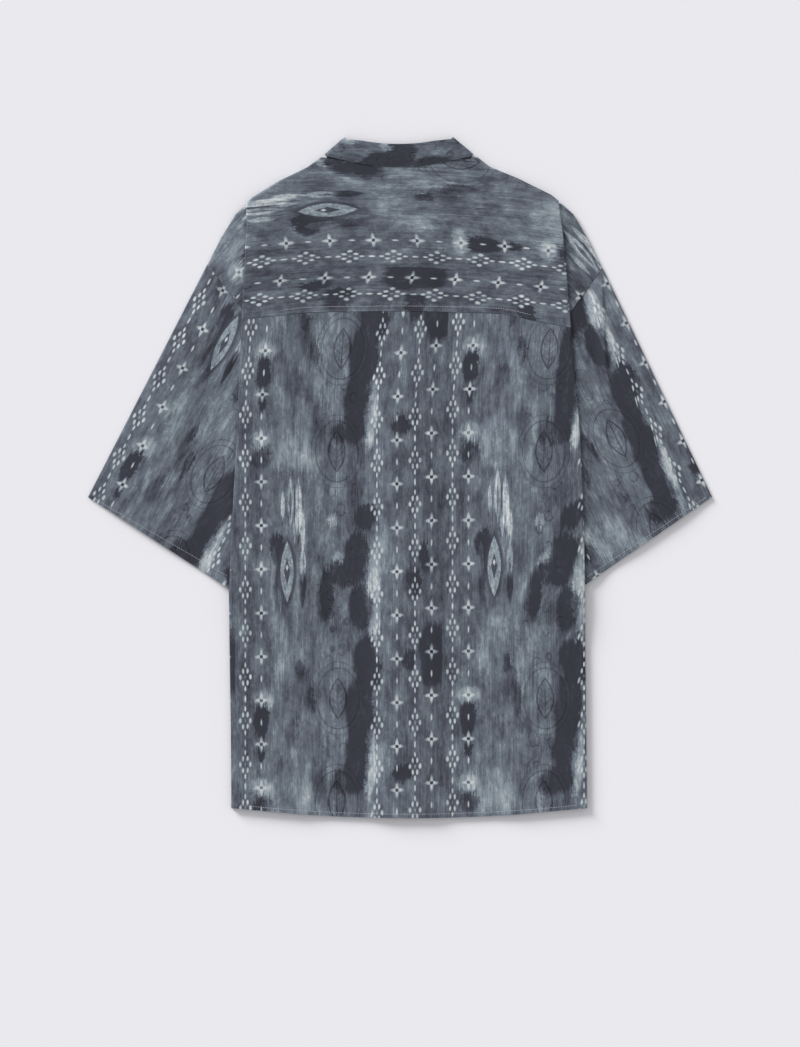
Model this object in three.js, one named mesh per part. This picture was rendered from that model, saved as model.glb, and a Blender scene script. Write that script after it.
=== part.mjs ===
import * as THREE from 'three'

// A short-sleeved boxy shirt lying on its front, back uppermost, in millimetres.
// X runs across it, Y from the hem to the collar, Z up from the floor it lies on.
// Each shoulder end is laid back in a tuck, so the body folds in under itself at each side
// and the sleeve comes out from between the layers.

// Cloth wall, the step from one layer to the next, and the gap kept at a seam
const wall = 1
const layer = 1.4
const seamGap = 0.3
const seamHalf = 0.22
const edgeHalf = 0.37
const bend = layer / 2

// Heights of the middle of each layer, from the front on the floor up to the back
const frontMain = wall / 2
const frontTurned = frontMain + layer
const frontUnder = frontTurned + layer
const backUnder = frontUnder + 2
const backTurned = backUnder + layer
const backMain = backTurned + layer
const middle = (frontUnder + backUnder) / 2
const stackDrop = 2 * layer

// Where the layers of the sleeve end, the stack settles by two layers
const dropStart = -140
const dropEnd = -200

// The body from the shoulder down: both folded edges, the depth of the tuck behind them,
// and the width of the flap that goes back out to the armhole
const bodyRows = [
  { y: 319, left: -177.1, right: 182.3, tuck: 4.5, flap: 20 },
  { y: 290, left: -176.2, right: 186.2, tuck: 12, flap: 20 },
  { y: 262, left: -178.3, right: 189.7, tuck: 20, flap: 20 },
  { y: 221, left: -179.9, right: 192.9, tuck: 32, flap: 20 },
  { y: 172, left: -182.5, right: 196.8, tuck: 46, flap: 19 },
  { y: 130, left: -184.2, right: 200.5, tuck: 58, flap: 13 },
  { y: 90, left: -186, right: 204, tuck: 69, flap: 9 },
  { y: 50, left: -187.7, right: 207, tuck: 80, flap: 6 },
  { y: 34, left: -188.5, right: 207.8, tuck: 82, flap: 0 },
  { y: -50, left: -193.2, right: 211.5, tuck: 80, flap: 0 },
  { y: -134, left: -196.7, right: 212.8, tuck: 79, flap: 0 },
  { y: -200, left: -196, right: 213.1, tuck: 77, flap: 0 },
  { y: -290, left: -194.6, right: 214.2, tuck: 75, flap: 0 },
  { y: -380, left: -194, right: 215, tuck: 74, flap: 0 },
]
const underarm = 50
const neckHeight = 362
const hemDip = 11.6

// Across the back: the bump over the lapped fronts, where it has settled, and the ramp up to the tuck
const backAcross = { lapped: 20, settled: 55, ramp: 32, ledge: 4, lowHeight: 3.4, lappedHeight: 6.2 }

// The upper edge of the back yoke, from the middle of the neck out to the shoulder fold
const yokeTop = [
  { name: 'neck_middle', left: [-1.5, 361.8], right: [-1.5, 361.8] },
  { name: 'neck_inner', left: [-22, 362.4], right: [19, 362.4] },
  { name: 'neck_side', left: [-57.5, 364.6], right: [55.2, 364.6] },
  { name: 'neck_point', left: [-90.9, 368.2], right: [89.1, 368.2] },
  { name: 'shoulder_rise', left: [-105.8, 357.1], right: [102.4, 357.7] },
  { name: 'shoulder_mid', left: [-138, 341.6], right: [135.7, 343.9] },
  { name: 'tuck', left: [-168.6, 322.9], right: [173.8, 325] },
  { name: 'fold', left: [-177.1, 315.7], right: [182.3, 319.1] },
]

// The seam at the foot of the yoke
const yokeSeam = [
  { name: 'neck_middle', left: 190.8, right: 190.8 },
  { name: 'neck_inner', left: 190.8, right: 190.6 },
  { name: 'neck_side', left: 190.6, right: 190 },
  { name: 'neck_point', left: 190.3, right: 189.4 },
  { name: 'shoulder_rise', left: 189.6, right: 188 },
  { name: 'shoulder_mid', left: 188, right: 185 },
  { name: 'tuck', left: 186, right: 181 },
  { name: 'fold', left: 182, right: 172 },
]
const seamAtTuckFold = 162
const seamAtArmhole = { left: [-150, 153], right: [168, 151.2] }

// The dropped end of the shoulder, from the tuck out to the sleeve seam
const shoulderEnd = {
  left: [[-180.3, 310.5], [-188.6, 302.8], [-205.9, 275.4], [-220.8, 245.5]],
  right: [[185.8, 314.6], [199, 303], [215, 275.5], [232.3, 240.9]],
}
const flapShares = [0.2, 0.45, 0.7, 1]

// The front neckline, from the middle out to the neck point, by distance from the collar's middle
const collarMiddle = -1.5
const frontNeck = [
  { out: -18, y: 286.5 },
  { out: 19.2, y: 289.2 },
  { out: 38.8, y: 296 },
  { out: 59.5, y: 310 },
  { out: 76, y: 334 },
]
const collarPointClear = 262
const frontLap = { left: frontUnder, right: frontUnder + layer }

// The collar: where it folds over at the roll, where it is sewn on, and its free edge
const collarSide = {
  left: { tip: [-62.7, 392.6], foot: [-86.8, 371.8] },
  right: { tip: [59.8, 392.6], foot: [84.5, 372] },
}
const collarBack = [
  { out: 0, neck: 362.3, roll: [0, 383.5], edge: [0, 357] },
  { out: 20.5, neck: 362.9, roll: [16, 384.3], edge: [22, 357.6] },
  { out: 56, neck: 365.2, roll: [40, 387], edge: [52, 362.5] },
]
const collarFront = [
  { out: 76, y: 334.8, roll: [50, 372], edge: [74, 345] },
  { out: 59.5, y: 311, roll: [36, 352], edge: [64, 320] },
  { out: 38.8, y: 296.8, roll: [22, 335], edge: [57, 300] },
  { out: 19.2, y: 290, roll: [11, 322], edge: [50, 280] },
  { out: 0.8, y: 288.6, roll: [2, 314], edge: [42, 276] },
]
const standBack = backUnder
const leafBack = standBack + layer
const standFront = frontTurned
const leafFront = frontMain
const collarMid = (standBack + standFront) / 2

// The sleeves: the foot of the outer fold and of the underarm, at the hem
const sleeveHem = {
  left: { outer: [-358.8, -22.5], inner: [-186.3, -134.5] },
  right: { outer: [358.8, -22.5], inner: [202.4, -130.5] },
}
const sleeveRows = 8
const sleevePuff = 1.5
const settleWidth = 34
const sleeveClear = 2

// Buttons down the middle of the fronts
const button = {
  count: 6,
  radius: 5.75,
  thickness: 2.2,
  first: 250,
  step: 108,
  holeRadius: 0.9,
  holeOffset: 1.7,
  segments: 10,
}

const cloth = new THREE.MeshStandardMaterial({ color: 0x5f6670, roughness: 0.85, metalness: 0 })
const shell = new THREE.MeshStandardMaterial({ color: 0x3c3f46, roughness: 0.4, metalness: 0 })

const smooth = (low, high, value) => THREE.MathUtils.smoothstep(value, low, high)
const mix = THREE.MathUtils.lerp
const mixPoint = (a, b, share) => [mix(a[0], b[0], share), mix(a[1], b[1], share)]

// A column of the body table at any height, straight between its rows
function bodyAt(y, column) {
  const last = bodyRows.length - 1
  let i = 0
  while (i < last - 1 && bodyRows[i + 1].y > y) i++
  const upper = bodyRows[i]
  const lower = bodyRows[i + 1]
  const share = THREE.MathUtils.clamp((upper.y - y) / (upper.y - lower.y), 0, 1)
  return mix(upper[column], lower[column], share)
}

const sides = { left: -1, right: 1 }
const backLift = (y) => stackDrop * (1 - smooth(-dropStart, -dropEnd, -y))
const axisAt = (y) => (bodyAt(y, 'left') + bodyAt(y, 'right')) / 2

// How far the cloth outside the body has come down from the stack towards the floor
function settle(x, y, side) {
  const beyond = sides[side] * (x - bodyAt(y, side))
  return stackDrop * THREE.MathUtils.clamp((beyond - sleeveClear) / settleWidth, 0, 1)
}

// A closed wall round a grid of middle points: rows of equal length, null where there is no cloth
function wallFromGrid(rows, closed = false) {
  const rowCount = rows.length
  const columnCount = rows[0].length
  const wrap = (j) => (closed ? (j + columnCount) % columnCount : j)
  const point = (i, j) => (i < 0 || i >= rowCount ? null : rows[i][wrap(j)] ?? null)
  const cellIsCloth = (i, j) =>
    Boolean(point(i, j) && point(i + 1, j) && point(i, j + 1) && point(i + 1, j + 1)) &&
    (closed || (j >= 0 && j < columnCount - 1))

  const cellNormal = (i, j, di, dj) => {
    const here = point(i + di, j + dj)
    const along = point(i + di, j + 1 - dj).clone().sub(here).multiplyScalar(dj ? -1 : 1)
    const down = point(i + 1 - di, j + dj).clone().sub(here).multiplyScalar(di ? -1 : 1)
    return along.cross(down).normalize()
  }

  const positions = []
  const topIndex = []
  for (let i = 0; i < rowCount; i++) {
    topIndex.push([])
    for (let j = 0; j < columnCount; j++) {
      const normals = []
      for (const [di, dj] of [[0, 0], [0, 1], [1, 0], [1, 1]]) {
        if (cellIsCloth(i - di, j - dj)) normals.push(cellNormal(i - di, j - dj, di, dj))
      }
      if (!normals.length) continue
      const normal = new THREE.Vector3()
      for (const one of normals) normal.add(one)
      normal.normalize()
      const agreement = normals.reduce((sum, one) => sum + one.dot(normal), 0) / normals.length
      const reach = wall / 2 / Math.max(agreement, 0.75)
      topIndex[i][j] = positions.length / 3
      for (const face of [reach, -reach]) {
        const corner = point(i, j).clone().addScaledVector(normal, face)
        positions.push(corner.x, corner.y, Math.max(corner.z, 0))
      }
    }
  }

  const index = []
  const quad = (a, b, c, d) => index.push(a, b, c, a, c, d)
  for (let i = 0; i < rowCount - 1; i++) {
    for (let j = 0; j < (closed ? columnCount : columnCount - 1); j++) {
      if (!cellIsCloth(i, j)) continue
      const a = topIndex[i][wrap(j)]
      const b = topIndex[i][wrap(j + 1)]
      const c = topIndex[i + 1][wrap(j + 1)]
      const d = topIndex[i + 1][wrap(j)]
      quad(a, b, c, d)
      index.push(d + 1, c + 1, a + 1, c + 1, b + 1, a + 1)
      if (!cellIsCloth(i - 1, j)) quad(a, a + 1, b + 1, b)
      if (!cellIsCloth(i + 1, j)) quad(c, c + 1, d + 1, d)
      if (!cellIsCloth(i, j - 1)) quad(d, d + 1, a + 1, a)
      if (!cellIsCloth(i, j + 1)) quad(b, b + 1, c + 1, c)
    }
  }
  return closedGeometry(positions, index)
}

// A geometry with its faces pointing out, whichever way its grid was walked
function closedGeometry(positions, index) {
  const corner = (n) => new THREE.Vector3().fromArray(positions, index[n] * 3)
  let volume = 0
  for (let n = 0; n < index.length; n += 3) {
    volume += corner(n).dot(corner(n + 1).cross(corner(n + 2))) / 6
  }
  if (volume < 0) index.reverse()
  const geometry = new THREE.BufferGeometry()
  geometry.setAttribute('position', new THREE.Float32BufferAttribute(positions, 3))
  geometry.setIndex(index)
  return geometry
}

const group = new THREE.Group()

function add(name, geometry, material) {
  const mesh = new THREE.Mesh(geometry, material)
  mesh.name = name
  group.add(mesh)
  return mesh
}

// Heights of the three layers at a side, with the back's or the front's own way round
function sideHeights(y, isBack) {
  if (!isBack) return { main: frontMain, turned: frontTurned, under: frontUnder }
  const lift = backLift(y)
  return {
    main: backMain - stackDrop + lift,
    turned: backTurned - stackDrop + lift,
    under: backUnder,
  }
}

// One side of the body at a row: out round the folded edge, back in along the turned layer,
// and out again along the flap, or up to the side seam below the underarm
function sideColumns(y, side, isBack) {
  const sign = sides[side]
  const fold = bodyAt(y, side)
  const inner = fold - sign * bodyAt(y, 'tuck')
  const z = sideHeights(y, isBack)
  const up = isBack ? 1 : -1
  const points = []
  for (const degrees of [90, 30, -30, -90]) {
    const turn = THREE.MathUtils.degToRad(degrees)
    const x = fold - sign * (wall / 2 + bend - bend * Math.cos(turn))
    points.push([x, y, (z.main + z.turned) / 2 + up * bend * Math.sin(turn)])
  }
  if (y < underarm) {
    const lift = backLift(y)
    const seam = (backTurned - stackDrop + lift + frontTurned) / 2 + up * edgeHalf
    const radius = Math.abs(z.turned - seam)
    for (const degrees of [0, 45, 90]) {
      const turn = THREE.MathUtils.degToRad(degrees)
      const x = inner + sign * (wall / 2 + radius * (1 - Math.sin(turn)))
      points.push([x, y, seam + up * radius * Math.cos(turn)])
    }
    for (let n = 0; n <= flapShares.length; n++) points.push(null)
    return points
  }
  for (const degrees of [90, 150, 210, 270]) {
    const turn = THREE.MathUtils.degToRad(degrees)
    const x = inner + sign * (bend + bend * Math.cos(turn))
    points.push([x, y, (z.turned + z.under) / 2 + up * bend * Math.sin(turn)])
  }
  const flap = bodyAt(y, 'flap') - bend
  for (const share of flapShares) points.push([inner + sign * (bend + flap * share), y, z.under])
  return points
}

// Distances across the back at a row, from its middle out to the folded edge
function backStations(y, side) {
  const half = Math.abs(bodyAt(y, side) - axisAt(y))
  const rampEnd = half - bodyAt(y, 'tuck') - backAcross.ledge
  const rampStart = rampEnd - backAcross.ramp
  const { lapped, settled } = backAcross
  return [0, lapped, settled, (settled + rampStart) / 2, rampStart, (rampStart + rampEnd) / 2, rampEnd]
}

// Heights across the back: over the lapped fronts, down between, and up over the tuck
function backHeights(y) {
  const low = mix(backAcross.lowHeight, backUnder, smooth(200, 300, y))
  const lapped = mix(backAcross.lappedHeight, backUnder, smooth(312, 345, y))
  const high = backMain - stackDrop + backLift(y)
  return [lapped, lapped, low, low, low, (low + high) / 2, high]
}

const hemDrop = (x, y) => {
  const half = (bodyAt(y, 'right') - bodyAt(y, 'left')) / 2
  const across = THREE.MathUtils.clamp(Math.abs(x - axisAt(y)) / half, 0, 1)
  return hemDip * (1 - across * across)
}

// Turn the upper end of a column down (back) or up (front) into the shoulder seam
function edgeRows(top, foot, z, seam, reach) {
  const radius = Math.abs(z - seam)
  const up = z > seam ? 1 : -1
  const length = Math.hypot(foot[0] - top[0], foot[1] - top[1])
  return [90, 45, 0].map((degrees) => {
    const turn = THREE.MathUtils.degToRad(degrees)
    const share = (wall / 2 + reach - radius * Math.sin(turn)) / length
    return [...mixPoint(top, foot, share), seam + up * radius * Math.cos(turn)]
  })
}

// The part of a row outside the folded edge, above the yoke seam: share 0 is the shoulder, 1 the seam
function shoulderColumns(side, isBack, rowShares) {
  const sign = sides[side]
  const up = isBack ? 1 : -1
  const z = sideHeights(bodyRows[0].y, isBack)
  const foldTop = yokeTop[yokeTop.length - 1][side]
  const foldFoot = yokeSeam[yokeSeam.length - 1][side]
  const seamHeight = middle + up * edgeHalf
  const fullReach = Math.abs(z.main - seamHeight)
  const columns = []

  const column = (pointAt, height, reachFull, drops) => {
    const drop = ([x, y]) => (drops ? settle(x, y, side) : 0)
    const cells = rowShares.map((share) => {
      const place = pointAt(share)
      return [...place, height - drop(place)]
    })
    const seam = seamHeight - drop(cells[0])
    const reach = reachFull ? fullReach : Math.abs(cells[0][2] - seam)
    const edge = edgeRows(cells[0], cells[1], cells[0][2], seam, reach)
    columns.push([...edge, ...cells.slice(1)])
  }

  for (const degrees of [90, 30, -30, -90]) {
    const turn = THREE.MathUtils.degToRad(degrees)
    const height = (z.main + z.turned) / 2 + up * bend * Math.sin(turn)
    const inset = wall / 2 + bend - bend * Math.cos(turn)
    column((share) => {
      const y = mix(foldTop[1], foldFoot, share)
      return [bodyAt(y, side) - sign * inset, y]
    }, height, true, false)
  }
  for (const degrees of [90, 150, 210, 270]) {
    const turn = THREE.MathUtils.degToRad(degrees)
    const height = (z.turned + z.under) / 2 + up * bend * Math.sin(turn)
    column((share) => {
      const y = mix(foldTop[1], seamAtTuckFold, share)
      const inner = bodyAt(y, side) - sign * bodyAt(y, 'tuck')
      return [inner + sign * (bend + bend * Math.cos(turn)), y]
    }, height, true, false)
  }
  const foldSeamOut = bodyAt(seamAtTuckFold, 'tuck') - bend
  const foldSeam = [bodyAt(seamAtTuckFold, side) - sign * foldSeamOut, seamAtTuckFold]
  flapShares.forEach((flapShare, n) => {
    const foot = mixPoint(foldSeam, seamAtArmhole[side], flapShare)
    column((share) => mixPoint(shoulderEnd[side][n], foot, share), z.under, false, true)
  })
  return columns
}

const yokeShares = [0, 0.3, 0.65, 1]

const mirrorRow = (leftOut, rightOut) => [...leftOut.slice().reverse(), ...rightOut]
const transpose = (columns) => columns[0].map((_, i) => columns.map((column) => column[i]))
const toVectors = (rows) => rows.map((row) => row.map((p) => (p ? new THREE.Vector3(...p) : null)))
const shiftRow = (row, dy) => row.map(([x, y, z]) => [x, y + dy, z])

// Columns of the yoke on one side, from the middle of the neck to the armhole
function yokeColumns(side) {
  const columns = []
  const heightsTop = backHeights(neckHeight)
  const seamStations = backStations(yokeSeam[yokeSeam.length - 1].left, side)
  for (let n = 0; n < yokeTop.length - 1; n++) {
    const top = yokeTop[n][side]
    const footY = yokeSeam[n][side]
    const foot = [axisAt(footY) + sides[side] * seamStations[n], footY]
    const isNeck = n < 3
    const body = yokeShares.map((share) => {
      const [x, y] = mixPoint(top, foot, share)
      return [x, y, backHeights(y)[n]]
    })
    const topHeight = n === yokeTop.length - 2 ? backMain : heightsTop[n]
    const seam = middle + edgeHalf
    const edge = isNeck
      ? [0, wall / 2, wall].map((down) => [top[0], top[1] - down, topHeight])
      : edgeRows(top, foot, topHeight, seam, Math.abs(topHeight - seam))
    columns.push([...edge, ...body.slice(1)])
  }
  return [...columns, ...shoulderColumns(side, true, yokeShares)]
}

function yokeRows() {
  const left = transpose(yokeColumns('left'))
  const right = transpose(yokeColumns('right'))
  return left.map((row, i) => mirrorRow(row.slice(1), right[i]))
}

const panelHeights = [130, 90, underarm, 34, -50, dropStart + 6, (dropStart + dropEnd) / 2, dropEnd, -290]
const hemHeight = -380

// The back panel hangs from the foot row of the yoke
function backPanelRows(seamRow) {
  const rows = [seamRow]
  for (const y of [...panelHeights, hemHeight]) {
    const isHem = y === hemHeight
    const half = (side) => {
      const stations = backStations(y, side)
      const heights = backHeights(y)
      const main = stations.map((out, n) => [axisAt(y) + sides[side] * out, y, heights[n]])
      return [...main, ...sideColumns(y, side, true)]
    }
    const row = mirrorRow(half('left').slice(1), half('right'))
    rows.push(isHem ? row.map((p) => p && [p[0], p[1] - hemDrop(p[0], p[1]), p[2]]) : row)
  }
  return rows
}

// One front: lapped over the middle, flat on the floor, and raised over the collar's points
function frontRows(side) {
  const sign = sides[side]
  const lowStations = [...frontNeck.map((row) => row.out), 88, 104, 136]
  const tops = [
    ...frontNeck.map((row) => [collarMiddle + sign * row.out, row.y]),
    yokeTop[3][side],
    yokeTop[4][side],
    yokeTop[5][side],
  ]
  const heightAt = (n, y) => {
    if (n < 2) return frontLap[side]
    const overCollar = n < 6 ? smooth(228, collarPointClear, y) : 0
    return mix(frontMain, frontTurned, overCollar)
  }
  const outShare = (n) => Math.max(0, lowStations[n]) / lowStations[lowStations.length - 1]
  const footY = (n) => mix(yokeSeam[0][side], yokeSeam[5][side], outShare(n))
  const columns = tops.map((top, n) => {
    const y0 = footY(n)
    const foot = [axisAt(y0) + sign * lowStations[n], y0]
    const body = yokeShares.map((share) => {
      const [x, y] = mixPoint(top, foot, share)
      return [x, y, heightAt(n, y)]
    })
    const seam = middle - edgeHalf
    const edge = n < 5
      ? [0, wall / 2, wall].map((down) => [top[0], top[1] - down, body[0][2]])
      : edgeRows(top, foot, body[0][2], seam, Math.abs(body[0][2] - seam))
    return [...edge, ...body.slice(1)]
  })
  const upper = transpose([...columns, ...shoulderColumns(side, false, yokeShares)])
  const lower = [...panelHeights, hemHeight].map((y) => {
    const main = lowStations.map((out, n) => [axisAt(y) + sign * out, y, heightAt(n, y)])
    const row = [...main, ...sideColumns(y, side, false)]
    return y === hemHeight ? row.map((p) => p && [p[0], p[1] - hemDrop(p[0], p[1]), p[2]]) : row
  })
  return [...upper, ...lower]
}

// The place at a distance along a line of points
function alongLine(line, distance) {
  let rest = distance
  for (let n = 1; n < line.length; n++) {
    const length = Math.hypot(line[n][0] - line[n - 1][0], line[n][1] - line[n - 1][1])
    if (rest <= length || n === line.length - 1) return mixPoint(line[n - 1], line[n], rest / length)
    rest -= length
  }
}

function lineLength(line) {
  let total = 0
  for (let n = 1; n < line.length; n++) {
    total += Math.hypot(line[n][0] - line[n - 1][0], line[n][1] - line[n - 1][1])
  }
  return total
}

// How far along a row of the sleeve, from its outer fold, the row goes in under the body
function hiddenFrom(line, side) {
  let outside = 0
  let inside = lineLength(line)
  for (let n = 0; n < 20; n++) {
    const half = (outside + inside) / 2
    const [x, y] = alongLine(line, half)
    if (sides[side] * (x - bodyAt(y, side)) > sleeveClear) outside = half
    else inside = half
  }
  return outside
}

// The armhole from the shoulder to the underarm, just clear of the body's edge
function armholeLine(side) {
  const sign = sides[side]
  const top = shoulderEnd[side][3]
  const under = [130, 90, underarm + 1].map((y) => {
    const out = bodyAt(y, 'tuck') - bodyAt(y, 'flap')
    return [bodyAt(y, side) - sign * out, y]
  })
  const line = [top, mixPoint(top, seamAtArmhole[side], 0.5), seamAtArmhole[side], ...under]
  return line.map(([x, y]) => [x + sign * seamGap * 2.2, y - seamGap * 0.8])
}

// A flattened tube of cloth from the armhole to the hem of the sleeve
function sleeveGrid(side) {
  const armhole = armholeLine(side)
  const total = lineLength(armhole)
  const shares = armhole.map((_, n) => lineLength(armhole.slice(0, n + 1)) / total)
  const hem = sleeveHem[side]
  const radius = (backUnder - frontUnder) / 2
  const inset = radius + wall / 2
  const rows = []
  for (let i = 0; i <= sleeveRows; i++) {
    const line = armhole.map((start, n) => {
      const end = mixPoint(hem.outer, hem.inner, shares[n])
      return mixPoint(start, end, i / sleeveRows)
    })
    const hidden = hiddenFrom(line, side)
    const innermost = lineLength(line) - inset - 1
    const settled = hidden - settleWidth
    const stations = [
      { at: inset, drop: stackDrop, puff: 0 },
      { at: settled / 3, drop: stackDrop, puff: sleevePuff },
      { at: settled * 2 / 3, drop: stackDrop, puff: sleevePuff },
      { at: settled, drop: stackDrop, puff: 0 },
      { at: hidden - settleWidth / 2, drop: stackDrop / 2, puff: 0 },
      { at: hidden, drop: 0, puff: 0 },
      ...[0.25, 0.5, 0.75, 1].map((share) => ({ at: mix(hidden, innermost, share), drop: 0, puff: 0 })),
    ]
    const turned = (station, reach, height) => [
      ...alongLine(line, station.at + reach), middle - station.drop + height,
    ]
    const half = radius * Math.sin(Math.PI / 6)
    const bulge = radius * Math.cos(Math.PI / 6)
    const [outer, inner] = [stations[0], stations[stations.length - 1]]
    rows.push([
      ...stations.map((station) => turned(station, 0, radius + station.puff)),
      turned(inner, bulge, half),
      turned(inner, bulge, -half),
      ...stations.slice().reverse().map((station) => turned(station, 0, -radius)),
      turned(outer, -bulge, -half),
      turned(outer, -bulge, half),
    ])
  }
  return rows
}

// Round the side of the collar, from the front layer up to the back layer, at a share down its fold
function collarTurn(side, share, height) {
  const { tip, foot } = collarSide[side]
  const along = new THREE.Vector2(foot[0] - tip[0], foot[1] - tip[1]).normalize()
  const out = new THREE.Vector2(sides[side] * Math.abs(along.y), Math.abs(along.x))
  const clear = leafBack - collarMid + wall / 2
  const base = mixPoint(tip, foot, share)
  return [90, 45, 0, -45, -90].map((degrees) => {
    const turn = THREE.MathUtils.degToRad(degrees)
    const reach = -clear + height * Math.cos(turn)
    return [base[0] + out.x * reach, base[1] + out.y * reach, collarMid + height * Math.sin(turn)]
  })
}

// One row of the collar, from the left front end round the back to the right front end
function collarRow(side, backPoint, frontPoint, turnShare, turnHeight) {
  const back = collarBack.map((station, n) => backPoint(station, n))
  const front = collarFront.map((station, n) => frontPoint(station, n))
  return [...back, ...collarTurn(side, turnShare, turnHeight), ...front]
}

// A point a set distance along the way from one point to another
const towards = (from, to, distance) =>
  mixPoint(from, to, distance / Math.hypot(to[0] - from[0], to[1] - from[1]))

const collarPlace = (side, [out, y]) => [collarMiddle + sides[side] * out, y]

// The stand, from just inside the roll down to the neckline
function standRows(side) {
  const rollGap = 1.5
  const turnStart = 0.16
  const place = (station, neck, down) => {
    const roll = collarPlace(side, station.roll)
    const foot = collarPlace(side, [station.out, neck])
    return mixPoint(towards(roll, foot, rollGap), foot, down)
  }
  return [1, 0.5, 0].map((down) => collarRow(
    side,
    (station) => [...place(station, station.neck, down), standBack],
    (station, n) => {
      const lapped = n > 2 ? frontLap[side] - standFront : 0
      return [...place(station, station.y, down), standFront + lapped * down]
    },
    mix(turnStart, 1, down),
    standBack - collarMid,
  ))
}

// The leaf, turned down over the roll and lying on the back and under the fronts
function leafRows(side) {
  const rollRadius = 0.6
  const turnStart = 0.04
  const turnLength = 40
  const rollRows = [90, 45, 0].map((degrees) => {
    const turn = THREE.MathUtils.degToRad(degrees)
    const inset = wall / 2 + rollRadius * (1 - Math.sin(turn))
    const drop = rollRadius * (1 - Math.cos(turn))
    return { inset, drop, down: 0, turnShare: turnStart + inset / turnLength }
  })
  const flatRows = [0.5, 1].map((down) => ({ inset: 0, drop: 0, down, turnShare: down }))
  return [...rollRows, ...flatRows].map(({ inset, drop, down, turnShare }) => {
    const place = (station) => {
      const roll = collarPlace(side, station.roll)
      const edge = collarPlace(side, station.edge)
      return mixPoint(towards(roll, edge, inset), edge, down)
    }
    return collarRow(
      side,
      (station) => [...place(station), leafBack - drop],
      (station) => [...place(station), leafFront + drop],
      turnShare,
      leafBack - collarMid - drop,
    )
  })
}

const collarGrid = (rowsOf) => {
  const left = rowsOf('left')
  const right = rowsOf('right')
  return left.map((row, i) => mirrorRow(row.slice(1), right[i]))
}

// A flat button with four holes
function buttonGeometry() {
  const outline = new THREE.Shape().absarc(0, 0, button.radius, 0, 2 * Math.PI, false)
  for (let n = 0; n < 4; n++) {
    const turn = Math.PI / 4 + n * Math.PI / 2
    const hole = new THREE.Path()
    const place = [button.holeOffset * Math.cos(turn), button.holeOffset * Math.sin(turn)]
    hole.absarc(...place, button.holeRadius, 0, 2 * Math.PI, true)
    outline.holes.push(hole)
  }
  return new THREE.ExtrudeGeometry(outline, {
    depth: button.thickness,
    bevelEnabled: false,
    curveSegments: button.segments,
  })
}

const yoke = yokeRows()
const seamRow = yoke[yoke.length - 1]
yoke[yoke.length - 1] = shiftRow(seamRow, seamHalf)
add('back_yoke', wallFromGrid(toVectors(yoke)), cloth)
add('back_panel', wallFromGrid(toVectors(backPanelRows(shiftRow(seamRow, -seamHalf)))), cloth)
for (const side of ['left', 'right']) {
  add(`front_${side}`, wallFromGrid(toVectors(frontRows(side))), cloth)
  add(`sleeve_${side}`, wallFromGrid(toVectors(sleeveGrid(side)), true), cloth)
}
add('collar_stand', wallFromGrid(toVectors(collarGrid(standRows))), cloth)
add('collar_leaf', wallFromGrid(toVectors(collarGrid(leafRows))), cloth)
for (let n = 0; n < button.count; n++) {
  const y = button.first - n * button.step
  const mesh = add(`button_${n + 1}`, buttonGeometry(), shell)
  mesh.position.set(axisAt(y), y, seamGap)
}

export default group
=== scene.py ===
"""A boxy short-sleeved shirt laid flat on its front, in a slate ikat print, dressed round its CAD solids."""

import math

import bpy
import numpy as np
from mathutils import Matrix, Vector, noise
from mathutils.bvhtree import BVHTree


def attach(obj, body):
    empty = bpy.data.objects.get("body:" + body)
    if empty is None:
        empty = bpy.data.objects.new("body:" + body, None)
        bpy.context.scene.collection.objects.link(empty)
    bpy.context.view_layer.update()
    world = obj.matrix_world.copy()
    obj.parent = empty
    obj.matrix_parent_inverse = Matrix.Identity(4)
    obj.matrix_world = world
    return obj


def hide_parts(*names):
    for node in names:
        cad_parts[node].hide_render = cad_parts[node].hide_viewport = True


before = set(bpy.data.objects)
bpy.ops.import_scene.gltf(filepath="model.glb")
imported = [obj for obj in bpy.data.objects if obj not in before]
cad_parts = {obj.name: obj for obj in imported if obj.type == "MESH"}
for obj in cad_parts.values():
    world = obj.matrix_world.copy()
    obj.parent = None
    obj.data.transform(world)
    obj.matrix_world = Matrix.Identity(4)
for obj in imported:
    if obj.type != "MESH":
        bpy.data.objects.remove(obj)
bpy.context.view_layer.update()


# Back yoke: two layers of woven cotton in the real shirt, cut across the cloth so the ikat rows run
# from shoulder to shoulder. It is sewn to the fronts along the shoulders, and each of its ends is
# laid back in a tuck. All tables are in millimetres, X across the shirt and Y towards the collar.
MM = 0.001
CLOTH = 0.7
WALL = 1.0
LAYER = 1.4
BEND = LAYER / 2
SEAM_HALF = 0.22
EDGE_HALF = 0.37

FRONT_MAIN = WALL / 2
FRONT_TURNED = FRONT_MAIN + LAYER
FRONT_UNDER = FRONT_TURNED + LAYER
BACK_UNDER = FRONT_UNDER + 2
BACK_TURNED = BACK_UNDER + LAYER
BACK_MAIN = BACK_TURNED + LAYER
MIDDLE = (FRONT_UNDER + BACK_UNDER) / 2
STACK_DROP = 2 * LAYER
DROP_START = -140
DROP_END = -200

SIDES = {"left": -1, "right": 1}

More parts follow.
